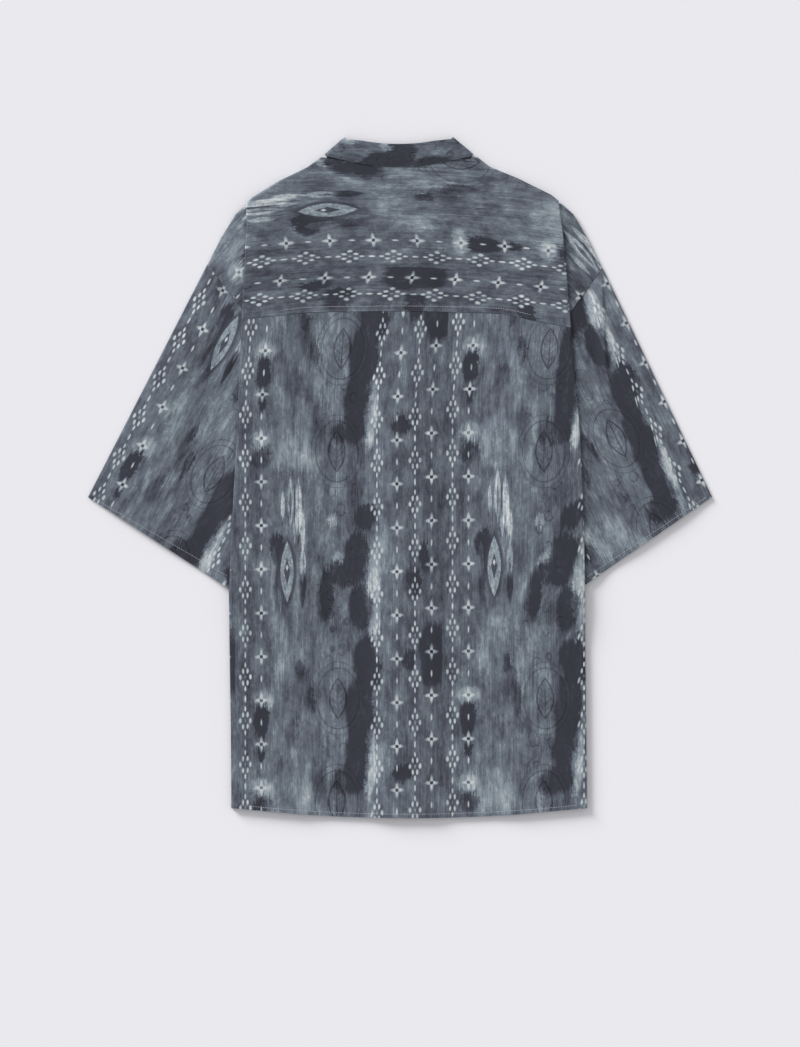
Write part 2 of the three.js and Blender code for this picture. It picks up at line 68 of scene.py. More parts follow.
# Height on the shirt, left and right folded edges, depth of the tuck, width of the flap behind it
BODY_ROWS = np.array([
    (319, -177.1, 182.3, 4.5, 20),
    (290, -176.2, 186.2, 12, 20),
    (262, -178.3, 189.7, 20, 20),
    (221, -179.9, 192.9, 32, 20),
    (172, -182.5, 196.8, 46, 19),
    (130, -184.2, 200.5, 58, 13),
    (90, -186, 204, 69, 9),
    (50, -187.7, 207, 80, 6),
    (34, -188.5, 207.8, 82, 0),
    (-50, -193.2, 211.5, 80, 0),
    (-134, -196.7, 212.8, 79, 0),
    (-200, -196, 213.1, 77, 0),
    (-290, -194.6, 214.2, 75, 0),
    (-380, -194, 215, 74, 0),
])
BODY_COLUMNS = {"left": 1, "right": 2, "tuck": 3, "flap": 4}
NECK_HEIGHT = 362

# The upper edge of the yoke, from the middle of the neck to the shoulder fold, and the seam at its foot
YOKE_TOP = {
    "left": [(-1.5, 361.8), (-22, 362.4), (-57.5, 364.6), (-90.9, 368.2),
             (-105.8, 357.1), (-138, 341.6), (-168.6, 322.9), (-177.1, 315.7)],
    "right": [(-1.5, 361.8), (19, 362.4), (55.2, 364.6), (89.1, 368.2),
              (102.4, 357.7), (135.7, 343.9), (173.8, 325), (182.3, 319.1)],
}
YOKE_SEAM = {
    "left": [190.8, 190.8, 190.6, 190.3, 189.6, 188, 186, 182],
    "right": [190.8, 190.6, 190, 189.4, 188, 185, 181, 172],
}
NECK_COLUMNS = 3
SEAM_AT_TUCK_FOLD = 162
SEAM_AT_ARMHOLE = {"left": (-150, 153), "right": (168, 151.2)}
SHOULDER_END = {
    "left": [(-180.3, 310.5), (-188.6, 302.8), (-205.9, 275.4), (-220.8, 245.5)],
    "right": [(185.8, 314.6), (199, 303), (215, 275.5), (232.3, 240.9)],
}
FLAP_SHARES = [0.2, 0.45, 0.7, 1]
TUCK_TURN = {"left": math.radians(-37), "right": math.radians(37)}
SLEEVE_CLEAR = 2
SETTLE_WIDTH = 34

# How the back lies on the fronts: its height beside their lap and on it, how far out the lap reaches,
# where both rise to the collar, and the ramp over the tucks
LOW = 3.4
LAPPED = 6.2
LAP = 20
LAP_EASED = 55
LOW_RISES = (200, 300)
LAPPED_RISES = (312, 345)
RAMP = 32
RAMP_CLEAR = 4

HALF_ROUND = [math.radians(degrees) for degrees in (90, 60, 30, 0, -30, -60, -90)]
TURNED_BACK = [math.radians(degrees) for degrees in (90, 150, 210, 270)]


def mix(a, b, share):
    return a + (b - a) * share


def mix_point(a, b, share):
    return tuple(mix(one, other, share) for one, other in zip(a, b))


def steps(high, low, count):
    return [mix(high, low, n / count) for n in range(count + 1)]


def rows_between(upper, lower, shares):
    return [[p and q and mix_point(p, q, share) for p, q in zip(upper, lower)] for share in shares]


def smooth(low, high, value):
    share = min(max((value - low) / (high - low), 0), 1)
    return share * share * (3 - 2 * share)


def body_at(y, column):
    return float(np.interp(-y, -BODY_ROWS[:, 0], BODY_ROWS[:, BODY_COLUMNS[column]]))


def axis_at(y):
    return (body_at(y, "left") + body_at(y, "right")) / 2


def back_lift(y):
    return STACK_DROP * (1 - smooth(-DROP_START, -DROP_END, -y))


def settle(x, y, side):
    beyond = SIDES[side] * (x - body_at(y, side))
    return STACK_DROP * smooth(0, 1, (beyond - SLEEVE_CLEAR) / SETTLE_WIDTH)


def back_stations(y, side):
    """Distances across the back, from its middle out to where it has climbed over the tuck."""
    ramp_end = abs(body_at(y, side) - axis_at(y)) - body_at(y, "tuck") - RAMP_CLEAR
    ramp_start = ramp_end - RAMP
    return [0, LAP, LAP_EASED, mix(LAP_EASED, ramp_start, 0.5), ramp_start,
            mix(ramp_start, ramp_end, 0.5), ramp_end]


def back_heights(y):
    """Heights there: over the lapped fronts, down between, and up over the tuck."""
    low = mix(LOW, BACK_UNDER, smooth(*LOW_RISES, y))
    lapped = mix(LAPPED, BACK_UNDER, smooth(*LAPPED_RISES, y))
    high = BACK_MAIN - STACK_DROP + back_lift(y)
    return [lapped, lapped, low, low, low, (low + high) / 2, high]


def side_heights(y, is_back):
    if not is_back:
        return FRONT_MAIN, FRONT_TURNED, FRONT_UNDER
    lift = back_lift(y)
    return BACK_MAIN - STACK_DROP + lift, BACK_TURNED - STACK_DROP + lift, BACK_UNDER


def edge_rows(top, foot, z, seam, reach):
    """The upper end of a column, turned down or up into the shoulder seam."""
    radius = abs(z - seam)
    up = 1 if z > seam else -1
    length = math.dist(top[:2], foot[:2])
    rows = []
    for degrees in (90, 45, 0):
        turn = math.radians(degrees)
        share = (WALL / 2 + reach - radius * math.sin(turn)) / length
        rows.append((*mix_point(top[:2], foot[:2], share), seam + up * radius * math.cos(turn)))
    return rows


def upper_column(top, foot, row_shares, height_at, seam, edge_height, is_neck):
    """A column from its raw edge at the neck, or from the shoulder seam, down to the foot."""
    if is_neck:
        rows = [(top[0], top[1] - down, edge_height) for down in (0, WALL / 2, WALL)]
    else:
        rows = edge_rows(top, foot, edge_height, seam, abs(edge_height - seam))
    for share in row_shares[1:]:
        x, y = mix_point(top, foot, share)
        rows.append((x, y, height_at(y)))
    return [(*point, *point[:2]) for point in rows]


def shoulder_columns(side, is_back, row_shares):
    """The part of the shoulder outside the folded edge: round the fold, back in, and out on the flap."""
    sign = SIDES[side]
    up = 1 if is_back else -1
    main, turned, under = side_heights(BODY_ROWS[0][0], is_back)
    fold_top = YOKE_TOP[side][-1][1]
    fold_foot = YOKE_SEAM[side][-1]
    seam_height = MIDDLE + up * EDGE_HALF
    full_reach = abs(main - seam_height)
    pivot = YOKE_TOP[side][-1]
    columns = []

    def column(point_at, height, unfold, is_flap):
        places = [point_at(share) for share in row_shares]
        drops = [settle(x, y, side) if is_flap else 0 for x, y in places]
        cells = [(x, y, height - drop) for (x, y), drop in zip(places, drops)]
        seam = seam_height - drops[0]
        reach = abs(cells[0][2] - seam) if is_flap else full_reach
        edge = edge_rows(cells[0], cells[1], cells[0][2], seam, reach)
        columns.append([(*cell, *unfold(*cell[:2])) for cell in (*edge, *cells[1:])])

    for turn in HALF_ROUND:
        height = (main + turned) / 2 + up * BEND * math.sin(turn)
        inset = WALL / 2 + BEND - BEND * math.cos(turn)

        def on_fold(share, inset=inset):
            y = mix(fold_top, fold_foot, share)
            return body_at(y, side) - sign * inset, y

        column(on_fold, height, lambda x, y: (x, y), False)
    for turn in TURNED_BACK:
        height = (turned + under) / 2 + up * BEND * math.sin(turn)
        reach_in = BEND + BEND * math.cos(turn)

        def on_tuck(share, reach_in=reach_in):
            y = mix(fold_top, SEAM_AT_TUCK_FOLD, share)
            return body_at(y, side) - sign * (body_at(y, "tuck") - reach_in), y

        column(on_tuck, height, lambda x, y: (2 * body_at(y, side) - x, y), False)
    fold_seam_x = body_at(SEAM_AT_TUCK_FOLD, side) - sign * (body_at(SEAM_AT_TUCK_FOLD, "tuck") - BEND)

    def flat_again(x, y):
        turn = TUCK_TURN[side]
        dx, dy = x - pivot[0], y - pivot[1]
        return (pivot[0] + dx * math.cos(turn) - dy * math.sin(turn),
                pivot[1] + dx * math.sin(turn) + dy * math.cos(turn))

    for n, flap_share in enumerate(FLAP_SHARES):
        foot = mix_point((fold_seam_x, SEAM_AT_TUCK_FOLD), SEAM_AT_ARMHOLE[side], flap_share)
        column(lambda share: mix_point(SHOULDER_END[side][n], foot, share), under, flat_again, True)
    return columns


def transpose(columns):
    return [list(row) for row in zip(*columns)]


def mirror_rows(left, right):
    return [one[:0:-1] + other for one, other in zip(left, right)]


def fill(rows, counts):
    """More points between the key points of each row, with the height eased from one to the next."""
    filled = []
    for row in rows:
        line = []
        for a, b, count in zip(row, row[1:], counts):
            line.append(a)
            for n in range(1, count):
                share = n / count
                if a is None or b is None:
                    line.append(None)
                    continue
                point = mix_point(a, b, share)
                line.append((*point[:2], mix(a[2], b[2], smooth(0, 1, share)), *point[3:]))
        filled.append([*line, row[-1]])
    return filled


def new_object(name, data):
    added = bpy.data.objects.new(name, data)
    bpy.context.collection.objects.link(added)
    return added


def new_material(name):
    material = bpy.data.materials.new(name)
    material.use_nodes = True
    return material, material.node_tree.nodes["Principled BSDF"]


SHARP_ABOVE = math.radians(62)


def cloth_shell(name, rows, material, closed=False, doubled=None):
    """A closed wall of cloth round a grid of middle points (x, y, z, then its place on the cut cloth)."""
    empty = (math.nan,) * 5
    grid = np.array([[empty if p is None else p for p in row] for row in rows], dtype=float)
    if closed:
        grid = np.concatenate([grid, grid[:, :1]], axis=1)
    row_count, column_count = grid.shape[:2]
    place = grid[..., :3]
    across = place[:, 1:] - place[:, :-1]
    down = place[1:] - place[:-1]
    cell_normal = np.cross(across[:-1] + across[1:], down[:, :-1] + down[:, 1:])
    is_cloth = np.isfinite(cell_normal).all(axis=2)
    cell_normal /= np.maximum(np.linalg.norm(cell_normal, axis=2, keepdims=True), 1e-12)
    cell_normal[~is_cloth] = 0
    normal = np.zeros_like(place)
    used = np.zeros(place.shape[:2], dtype=bool)
    for di in (0, 1):
        for dj in (0, 1):
            normal[di:row_count - 1 + di, dj:column_count - 1 + dj] += cell_normal
            used[di:row_count - 1 + di, dj:column_count - 1 + dj] |= is_cloth
    if closed:
        normal[:, 0] += normal[:, -1]
        normal[:, -1] = normal[:, 0]
    normal /= np.maximum(np.linalg.norm(normal, axis=2, keepdims=True), 1e-12)
    half = np.full(place.shape[:2], CLOTH / 2)
    if doubled is not None:
        half *= 1 + doubled(place)
    if closed:
        used[:, -1] = False
    number = np.full(used.shape, -1)
    number[used] = np.arange(used.sum())
    if closed:
        number[:, -1] = number[:, 0]
    count = int(used.sum())
    top = (place + normal * half[..., None])[used]
    under = (place - normal * half[..., None])[used]
    points = np.concatenate([top, under])
    points[:, 2] = np.maximum(points[:, 2], 0)

    i, j = np.nonzero(is_cloth)
    a, b, c, d = number[i, j], number[i, j + 1], number[i + 1, j + 1], number[i + 1, j]
    faces = [np.stack([a, d, c, b], axis=1), np.stack([a, b, c, d], axis=1) + count]
    framed = np.zeros((row_count + 1, column_count + 1), dtype=bool)
    framed[1:-1, 1:-1] = is_cloth
    wrap_before = framed[i + 1, j]
    wrap_after = framed[i + 1, j + 2]
    if closed:
        wrap_before = wrap_before | (j == 0)
        wrap_after = wrap_after | (j == column_count - 2)
    for edge, (p, q) in zip(
        (~framed[i, j + 1], ~framed[i + 2, j + 1], ~wrap_before, ~wrap_after),
        ((a, b), (c, d), (d, a), (b, c)),
    ):
        p, q = p[edge], q[edge]
        faces.append(np.stack([p, q, q + count, p + count], axis=1))
    faces = np.concatenate(faces)

    corners = points[faces]
    volume = 0
    for one, two, three in ((0, 1, 2), (0, 2, 3)):
        volume += np.einsum("ij,ij->", corners[:, one], np.cross(corners[:, two], corners[:, three]))
    if volume < 0:
        faces = faces[:, ::-1]
    mesh = bpy.data.meshes.new(name)
    mesh.from_pydata((points * MM).tolist(), [], faces.tolist())
    cut = mesh.attributes.new("cut", "FLOAT_VECTOR", "POINT")
    places = np.zeros((2 * count, 3))
    places[:, :2] = np.concatenate([grid[..., 3:][used]] * 2)
    cut.data.foreach_set("vector", places.ravel())
    mesh.polygons.foreach_set("use_smooth", [True] * len(faces))
    mesh.set_sharp_from_angle(angle=SHARP_ABOVE)
    mesh.materials.append(material)
    mesh.update()
    return new_object(name, mesh)


class Value:
    """A socket of a node tree: arithmetic on it adds Math nodes."""

    def __init__(self, socket):
        self.socket = socket

    def node(self, kind, settings=None, sockets=None, output=0):
        added = self.socket.id_data.nodes.new(kind)
        for name, setting in (settings or {}).items():
            if name == "stops":
                ramp = added.color_ramp
                while len(ramp.elements) < len(setting):
                    ramp.elements.new(0.5)
                for element, (position, colour) in zip(ramp.elements, setting):
                    element.position = position
                    element.color = colour
            elif name == "blend":
                added.color_ramp.interpolation = setting
            else:
                setattr(added, name, setting)
        for key, given in (sockets or {}).items():
            if isinstance(given, Value):
                added.id_data.links.new(given.socket, added.inputs[key])
            else:
                added.inputs[key].default_value = given
        return Value(added.outputs[output])

    def math(self, operation, *others):
        return self.node("ShaderNodeMath", {"operation": operation}, dict(enumerate((self, *others))))

    def __add__(self, other):
        return self.math("ADD", other)

    __radd__ = __add__

    def __sub__(self, other):
        return self.math("SUBTRACT", other)

    def __rsub__(self, other):
        return self.math("MULTIPLY_ADD", -1, other)

    def __mul__(self, other):
        return self.math("MULTIPLY", other)

    __rmul__ = __mul__

    def __truediv__(self, other):
        return self.math("DIVIDE", other)

    def __abs__(self):
        return self.math("ABSOLUTE")

    def least(self, other):
        return self.math("MINIMUM", other)

    def most(self, other):
        return self.math("MAXIMUM", other)

    def wrap(self, low, high):
        return self.math("WRAP", high, low)

    def fade(self, start, end, low=0.0, high=1.0):
        """Eases from low at start to high at end."""
        return self.node("ShaderNodeMapRange", {"interpolation_type": "SMOOTHSTEP"}, {
            "Value": self, "From Min": start, "From Max": end, "To Min": low, "To Max": high})


# The ikat print: motifs stand in columns down the cloth and repeat across and down it. A column is given
# by its place across the repeat and how far it sits below the first one. Each repeat to the right sits a
# little higher, all but the column of the medallions.
REPEAT_ACROSS = 238
REPEAT_DOWN = 401.9
STEP = REPEAT_DOWN / 8
DRIFT = 0.0266
FIRST_COLUMN = -177.7
FIRST_STAR = 94.9
PRINT_LEFT = -12
PRINT_FOOT = -397.5
STAR_COLUMNS = [(18.4, 0), (174.2, 6.6), (213.9, -0.6)]
DIAMOND_COLUMNS = [(0, -2.3), (151.2, 7), (194.9, 5)]

# Soft stains in the dye: place across and down the repeat, half width, half height, and tone
STAINS = [
    (18, 121, 8, 20, -0.5), (18, 84, 4, 9, -0.4), (19, 22, 12, 11, -0.2), (144, 177, 14, 24, -0.3),
    (132, 120, 15, 40, -0.3), (128, 78, 14, 34, -0.28), (117, 52, 19, 15, -0.24),
    (139, -45, 13, 15, -0.34), (129, -84, 15, 20, -0.38), (116, -110, 22, 16, -0.34),
    (133, -150, 13, 26, -0.34), (94, -132, 7, 26, -0.26), (137, -210, 13, 26, -0.3),
    (131, -262, 15, 34, -0.26), (91, -141, 9, 28, -0.22), (179, 56, 11, 10, -0.44),
    (216, -211, 19, 38, -0.28), (206, -98, 6, 20, -0.28), (192, -126, 10, 20, -0.22),
    (187, -216, 7, 12, -0.26), (36, -82, 9, 18, -0.4), (42, -122, 11, 44, -0.2),
    (75, 144, 5, 18, -0.2), (62, 179, 5, 12, -0.2), (54, 106, 9, 16, -0.12), (84, 60, 9, 30, -0.1),
    (66, -246, 8, 26, -0.12), (50, 32, 30, 30, 0.09), (143, 72, 8, 40, 0.26),
    (147, -140, 9, 50, 0.22), (40, -190, 10, 44, 0.1), (20, 146, 13, 12, 0.18),
    (19, 46, 12, 11, 0.2), (101, -49, 6, 8, 0.24), (106, -94, 7, 7, 0.2), (163, -112, 18, 40, 0.08),
]

# Flames of undyed thread beside the ikat eye: place, half width, half length, tone
FLAMES = [
    (43, -33, 2.6, 18, 0.24), (52, -27, 4.2, 31, 0.24), (61, -36, 4.6, 36, 0.3), (66, -62, 3.2, 24, 0.22),
    (57, -60, 2.6, 16, 0.18), (66, -102, 4, 22, 0.28), (33, -100, 3.4, 24, 0.12), (40, -136, 3, 22, 0.14),
    (66, -130, 4, 24, -0.26), (52, -30, 1.5, 17, -0.24), (57, -36, 1.2, 22, -0.24), (61, -66, 1.4, 16, -0.2),
]
EYE = (48, -109.5)
MEDALLIONS = [(106.5, 148), (105, 30)]
MEDALLION_COLUMN = 104

# Half widths and half heights of what is drawn, in the print's own millimetres
STAR_ARM_DOWN = (1.95, 8.37)
STAR_ARM_ACROSS = (6.78, 2.32)
STAR_DASH = (1, 3.74)
DIAMOND_DASH = (0.95, 3.87)
DOT = (1.38, 2.97)
DOT_SPACING = (6.2, 13.6)
EYE_RIM = (7.6, 35)
EYE_PUPIL = (3.6, 16)
EYE_GLINT = (1.7, 4)
GLINT_ABOVE = 4.6
LEAF = (9.5, 23)
RING = (24.5, 35)
VEIN_STEP = 7
YARN = 0.6

DYE = [
    (0.0, (0.016, 0.017, 0.023)), (0.2, (0.034, 0.036, 0.05)), (0.36, (0.072, 0.08, 0.104)),
    (0.52, (0.128, 0.15, 0.184)), (0.68, (0.235, 0.278, 0.318)), (0.86, (0.46, 0.5, 0.52)),
    (1.0, (0.62, 0.66, 0.67)),
]


def grey_stops(stops):
    return [(position, (tone, tone, tone, 1)) for position, tone in stops]


def ikat_cloth(name):
    """Plain-woven cotton, its warp dyed before weaving, so each motif is feathered along its threads."""
    cloth, shader = new_material(name)
    place_node = cloth.node_tree.nodes.new("ShaderNodeAttribute")
    place_node.attribute_name = "cut"
    place = Value(place_node.outputs["Vector"])
    x = place.node("ShaderNodeSeparateXYZ", sockets={0: place}, output=0)
    y = place.node("ShaderNodeSeparateXYZ", sockets={0: place}, output=1)

    def at(across, down, seed=0.0):
        return place.node("ShaderNodeCombineXYZ", sockets={0: across, 1: down, 2: seed})

    def cloud(width, height, detail, roughness, seed):
        return place.node("ShaderNodeTexNoise", {"noise_dimensions": "3D"}, {
            "Vector": at(x / width, y / height, seed),
            "Scale": 1.0, "Detail": detail, "Roughness": roughness}) - 0.5

    def oval(across, down, half):
        """Rises from 0 in the middle to 1 on an oval of these half sizes."""
        return across * across / half[0] ** 2 + down * down / half[1] ** 2

    def almond(across, down, half):
        """The same, on a shape with two pointed ends."""
        along = down / half[1]
        return abs(across) / half[0] + along * along

    def lozenge(across, down, half):
        return abs(across) / half[0] + abs(down) / half[1]

    def thin_line(away, sharpness, outside=1.3, inside=0.4):
        return (abs(away) * sharpness).fade(outside, inside)

    # Noise of the dye and the yarn: streaks along the warp, drifting edges, clouds, frayed ends, grain
    warp = cloud(1.6, 170, 2, 0.7, 3.1)
    wander = cloud(34, 46, 3, 0.6, 7.7)
    mottle = cloud(13, 38, 5, 0.7, 1.3)
    fray = cloud(4.2, 8, 3, 0.75, 9.2)
    grain = cloud(1.5, 2.6, 2, 0.8, 4.4)
    slub = cloud(0.8, 26, 2, 0.6, 5.5)

    u = (x - FIRST_COLUMN).wrap(PRINT_LEFT, PRINT_LEFT + REPEAT_ACROSS)
    level = u.fade(66, 80) * u.fade(150, 140)
    v = y - (x - FIRST_COLUMN) * DRIFT * (1 - level)
    stained_u = u + wander * 12 + fray * 8 + grain * 7
    stained_v = v + warp * 22 + wander * 14 + fray * 14 + grain * 9 - PRINT_FOOT
    stained_v = stained_v.wrap(0, REPEAT_DOWN) + PRINT_FOOT
    drawn_v = v + warp * 2.6

    # The tone of the ground, column by column, and the clouds in it
    column = (u + wander * 20 - PRINT_LEFT) / REPEAT_ACROSS
    ground = place.node("ShaderNodeValToRGB", {"blend": "B_SPLINE", "stops": grey_stops([
        (0.0, 0.42), (0.1, 0.46), (0.22, 0.48), (0.34, 0.52), (0.46, 0.52), (0.54, 0.46),
        (0.59, 0.36), (0.64, 0.5), (0.74, 0.48), (0.9, 0.42)])}, {0: column})
    tone = ground + mottle * 0.95 + fray * 0.24 + warp * 0.2 + slub * 0.3 + grain * 0.16

    stain_place = at(stained_u, stained_v)
    for across, along, half_across, half_along, strength in STAINS:
        if along > PRINT_FOOT + REPEAT_DOWN:
            along -= REPEAT_DOWN
        scaled = stain_place.node("ShaderNodeVectorMath", {"operation": "MULTIPLY"}, {
            0: stain_place, 1: (1 / half_across, 1 / half_along, 0)})
        away = scaled.node("ShaderNodeVectorMath", {"operation": "DISTANCE"}, {
            0: scaled, 1: (across / half_across, along / half_along, 0)}, "Value")
        tone = tone + away.fade(1.2, 0.75, 0.0, strength)

    def down_from(along):
        return (v - along).wrap(-REPEAT_DOWN / 2, REPEAT_DOWN / 2)

    tone = tone.most(0.21 + mottle * 0.3 + fray * 0.16 + grain * 0.12)

    # Flames, with their tips bled along the warp, and the eye: a dark halo, a light rim, pupil and glint
    bled = warp * 20 + slub * 8
    flames = 0.0
    for across, along, half_across, half_along, strength in FLAMES:
        flame = almond(u - across, down_from(along) + bled, (half_across, half_along))
        flames = flame.fade(1.15, 0.7, 0.0, strength) + flames
    tone = tone + flames * (1.0 + fray * 1.1 + slub * 1.2 + grain)
    eye_x = u - EYE[0]
    eye_y = down_from(EYE[1])
    rim = almond(eye_x, eye_y, EYE_RIM)
    pupil = lozenge(eye_x, eye_y, EYE_PUPIL)
    glint = lozenge(eye_x, eye_y - GLINT_ABOVE, EYE_GLINT)
    tone = mix(tone, 0.27 + mottle * 0.3, rim.fade(1.7, 1.2) * 0.8)
    tone = mix(tone, 0.66 + fray * 0.6 + grain * 0.5 + slub * 0.3, rim.fade(1.06, 0.95))
    tone = mix(tone, 0.3 + fray * 0.2, pupil.fade(1.1, 0.85))
    tone = mix(tone, 0.85, glint.fade(1.15, 0.8))

    # Medallions: a plain pointed leaf with a midrib and slanting veins in thin dark lines, ringed twice,
    # with loops of the same line between them
    loops = place.node("ShaderNodeTexVoronoi", {"feature": "F1"}, {
        "Vector": at(x / 15 + fray * 0.3, y / 20), "Scale": 1.0, "Randomness": 0.9})
    loop_line = thin_line(loops - 0.34, 24, inside=0.3)
    lines = loop_line * abs(u - MEDALLION_COLUMN).fade(27, 18) * wander.fade(-0.06, 0.02) * 0.13
    for across, along in MEDALLIONS:
        from_x = u - across + fray * 1.2
        from_y = down_from(along)
        leaf = almond(from_x, from_y, LEAF)
        outline = thin_line(leaf - 1, 9, 1.4, 0.5)
        midrib = thin_line(from_x / LEAF[0], 13, 1.4, 0.5) * abs(from_y / LEAF[1]).fade(0.9, 0.8)
        slant = (from_y - abs(from_x) * 0.9).wrap(-VEIN_STEP / 2, VEIN_STEP / 2)
        veins = thin_line(slant, 1.5) * leaf.fade(0.98, 0.84)
        ring = oval(from_x, from_y, RING).math("SQRT")
        rings = thin_line(ring - 1, 36).most(thin_line(ring - 1.2, 44) * 0.7) * mottle.fade(-0.2, -0.02)
        lines = (lines * ring.fade(1.2, 1.3)).most(outline * 0.19).most(rings * 0.13)
        lines = lines.most(midrib * 0.16).most(veins * 0.11)
    tone = tone - lines

    # Stars and dotted diamonds, with a dash between each and the next
    def nearest(columns):
        away = abs(u - columns[0][0])
        for column_place, _ in columns[1:]:
            away = away.least(abs(u - column_place))
        return away

    def row_shift(columns):
        (first, low), (second, middle), (third, high) = columns
        shift = u.fade(mix(first, second, 0.45), mix(first, second, 0.55), low, middle)
        return shift + u.fade(mix(second, third, 0.45), mix(second, third, 0.55), 0.0, high - middle)

    half_step = STEP / 2
    star_x = nearest(STAR_COLUMNS)
    star_y = abs((drawn_v + row_shift(STAR_COLUMNS) - FIRST_STAR).wrap(-half_step, half_step))
    star = oval(star_x, star_y, STAR_ARM_DOWN).least(oval(star_x, star_y, STAR_ARM_ACROSS))
    star_dash = oval(star_x, star_y - half_step, STAR_DASH)

    # The dots of a diamond are a lattice of two slants, cut off outside the third row, fainter in the middle
    diamond_x = nearest(DIAMOND_COLUMNS)
    diamond_v = drawn_v + row_shift(DIAMOND_COLUMNS) - FIRST_STAR + half_step
    diamond_y = abs(diamond_v.wrap(-half_step, half_step))
    spread = (diamond_x * 1.3).least(diamond_x * 0.9 + 0.96) / DOT_SPACING[0]
    one_way = spread + diamond_y / DOT_SPACING[1]
    other_way = spread - diamond_y / DOT_SPACING[1]
    near_one = one_way.wrap(-0.5, 0.5)
    near_other = other_way.wrap(-0.5, 0.5)
    dot_x = (near_one + near_other) * (DOT_SPACING[0] / 2)
    dot_y = (near_one - near_other) * (DOT_SPACING[1] / 2)
    dots = oval(dot_x, dot_y, DOT) + one_way.most(abs(other_way)).fade(1.48, 1.52, 0.0, 9.0)
    dots = dots + (diamond_x + diamond_y * 0.5).fade(2.8, 1.2, 0.0, 0.8)
    diamond_dash = oval(diamond_x, diamond_y - half_step, DIAMOND_DASH)
    motif = star.least(star_dash).least(dots).least(diamond_dash)
    motif = (motif + slub * 0.9 + grain * 0.8).fade(1.9, 0.25)
    glow = cloud(40, 50, 1, 0.5, 12.4).fade(0.0, 0.12)
    centre = star_x.most(star_y).fade(2.1, 1.3)
    motif = motif * (glow * 0.16 + 0.84) * (1 - centre)
    tone = mix(tone, 0.95 + fray * 0.4 + grain * 0.25, motif * 0.94) - centre * 0.14

    colour = place.node("ShaderNodeValToRGB", {"blend": "EASE", "stops": [
        (position, (*dye, 1)) for position, dye in DYE]}, {0: tone})
    weave = 2 * math.pi / YARN
    relief = (x * weave).math("SINE") * (y * weave).math("SINE") * 0.5 + slub * 1.5
    bump = place.node("ShaderNodeBump", sockets={"Strength": 0.3, "Distance": 0.00025, "Height": relief})
    links = cloth.node_tree.links
    links.new(colour.socket, shader.inputs["Base Color"])
    links.new(bump.socket, shader.inputs["Normal"])
    shader.inputs["Roughness"].default_value = 0.86
    shader.inputs["Specular IOR Level"].default_value = 0.22
    return cloth


cloth = ikat_cloth("ikat_cloth")

yoke_shares = steps(0, 1, 46)


def yoke_columns(side):
    columns = []
    top_heights = back_heights(NECK_HEIGHT)
    seam_stations = back_stations(YOKE_SEAM["left"][-1], side)
    for n, top in enumerate(YOKE_TOP[side][:-1]):
        foot_y = YOKE_SEAM[side][n]
        foot = (axis_at(foot_y) + SIDES[side] * seam_stations[n], foot_y)
        height = BACK_MAIN if n == len(YOKE_TOP[side]) - 2 else top_heights[n]
        columns.append(upper_column(top, foot, yoke_shares, lambda y: back_heights(y)[n],
                                    MIDDLE + EDGE_HALF, height, n < NECK_COLUMNS))
    return columns + shoulder_columns(side, True, yoke_shares)


MAIN_COUNTS = [7, 12, 9, 9, 6, 6, 22]
FOLD_COUNTS = [1] * 6
HIDDEN_COUNTS = [5, 1, 1, 1, 6, 6, 6, 6]
HALF_COUNTS = MAIN_COUNTS + FOLD_COUNTS + HIDDEN_COUNTS
ROW_COUNTS = HALF_COUNTS[::-1] + HALF_COUNTS

yoke_rows = mirror_rows(transpose(yoke_columns("left")), transpose(yoke_columns("right")))
seam_row = yoke_rows[-1]


def moved(row, dy):
    return [p and (p[0], p[1] + dy, p[2], p[3], p[4] + dy) for p in row]


# Where the print lies on the yoke. Each row of it is moved along by this much at these heights, and it
# bends down to the ends, by how much over what reach. Near the neck it is eased down, and below its last
# column the cloth is plain.
YOKE_ROWS = [205.8, 228.5, 251.6, 271.5, 307]
YOKE_ALONG = [-14, -7.8, -1.5, -1, -6.7]
YOKE_START = 178.7
YOKE_DROP = 16.4
YOKE_MIDDLE = -34.5
YOKE_BEND = {"left": (6.9, 129), "right": (13.8, 218)}
NECK_EASE = 6
NECK_EASE_HEIGHTS = (275, 300)
PLAIN_BELOW = 187
PLAIN_STRETCH = 0.3


def turned_print(row):
    """The yoke is cut across the cloth, so the print's columns cross it, bent down towards its ends."""
    placed = []
    for x, y, z, across, up in row:
        out = across - YOKE_MIDDLE
        bend, reach = YOKE_BEND["right" if out > 0 else "left"]
        column = up + bend * (out / reach) ** 2 - YOKE_DROP - NECK_EASE * smooth(*NECK_EASE_HEIGHTS, up)
        column = max(column, mix(PLAIN_BELOW, column, PLAIN_STRETCH))
        along = float(np.interp(up, YOKE_ROWS, YOKE_ALONG)) - YOKE_START - across
        placed.append((x, y, z, FIRST_COLUMN + column, along))
    return placed


# Low waves that the cloth keeps when it is smoothed out by hand: how high, how long, and the most room.
# They die out at the folds, under the collar and towards the hem.
WAVE = 0.5
WAVE_ACROSS = 58
WAVE_DOWN = 96
MOST_HEIGHT = BACK_MAIN + 0.12
MAIN_REACH = sum(MAIN_COUNTS)
MIDDLE_COLUMN = sum(HALF_COUNTS)
CALM_COLUMNS = 7
CALM_COLLAR = (322, 345)
CALM_HEM = (-400, -386)


def wave(x, y):
    return WAVE / 2 * (1 + noise.noise(Vector((x / WAVE_ACROSS, y / WAVE_DOWN, 2.5))))


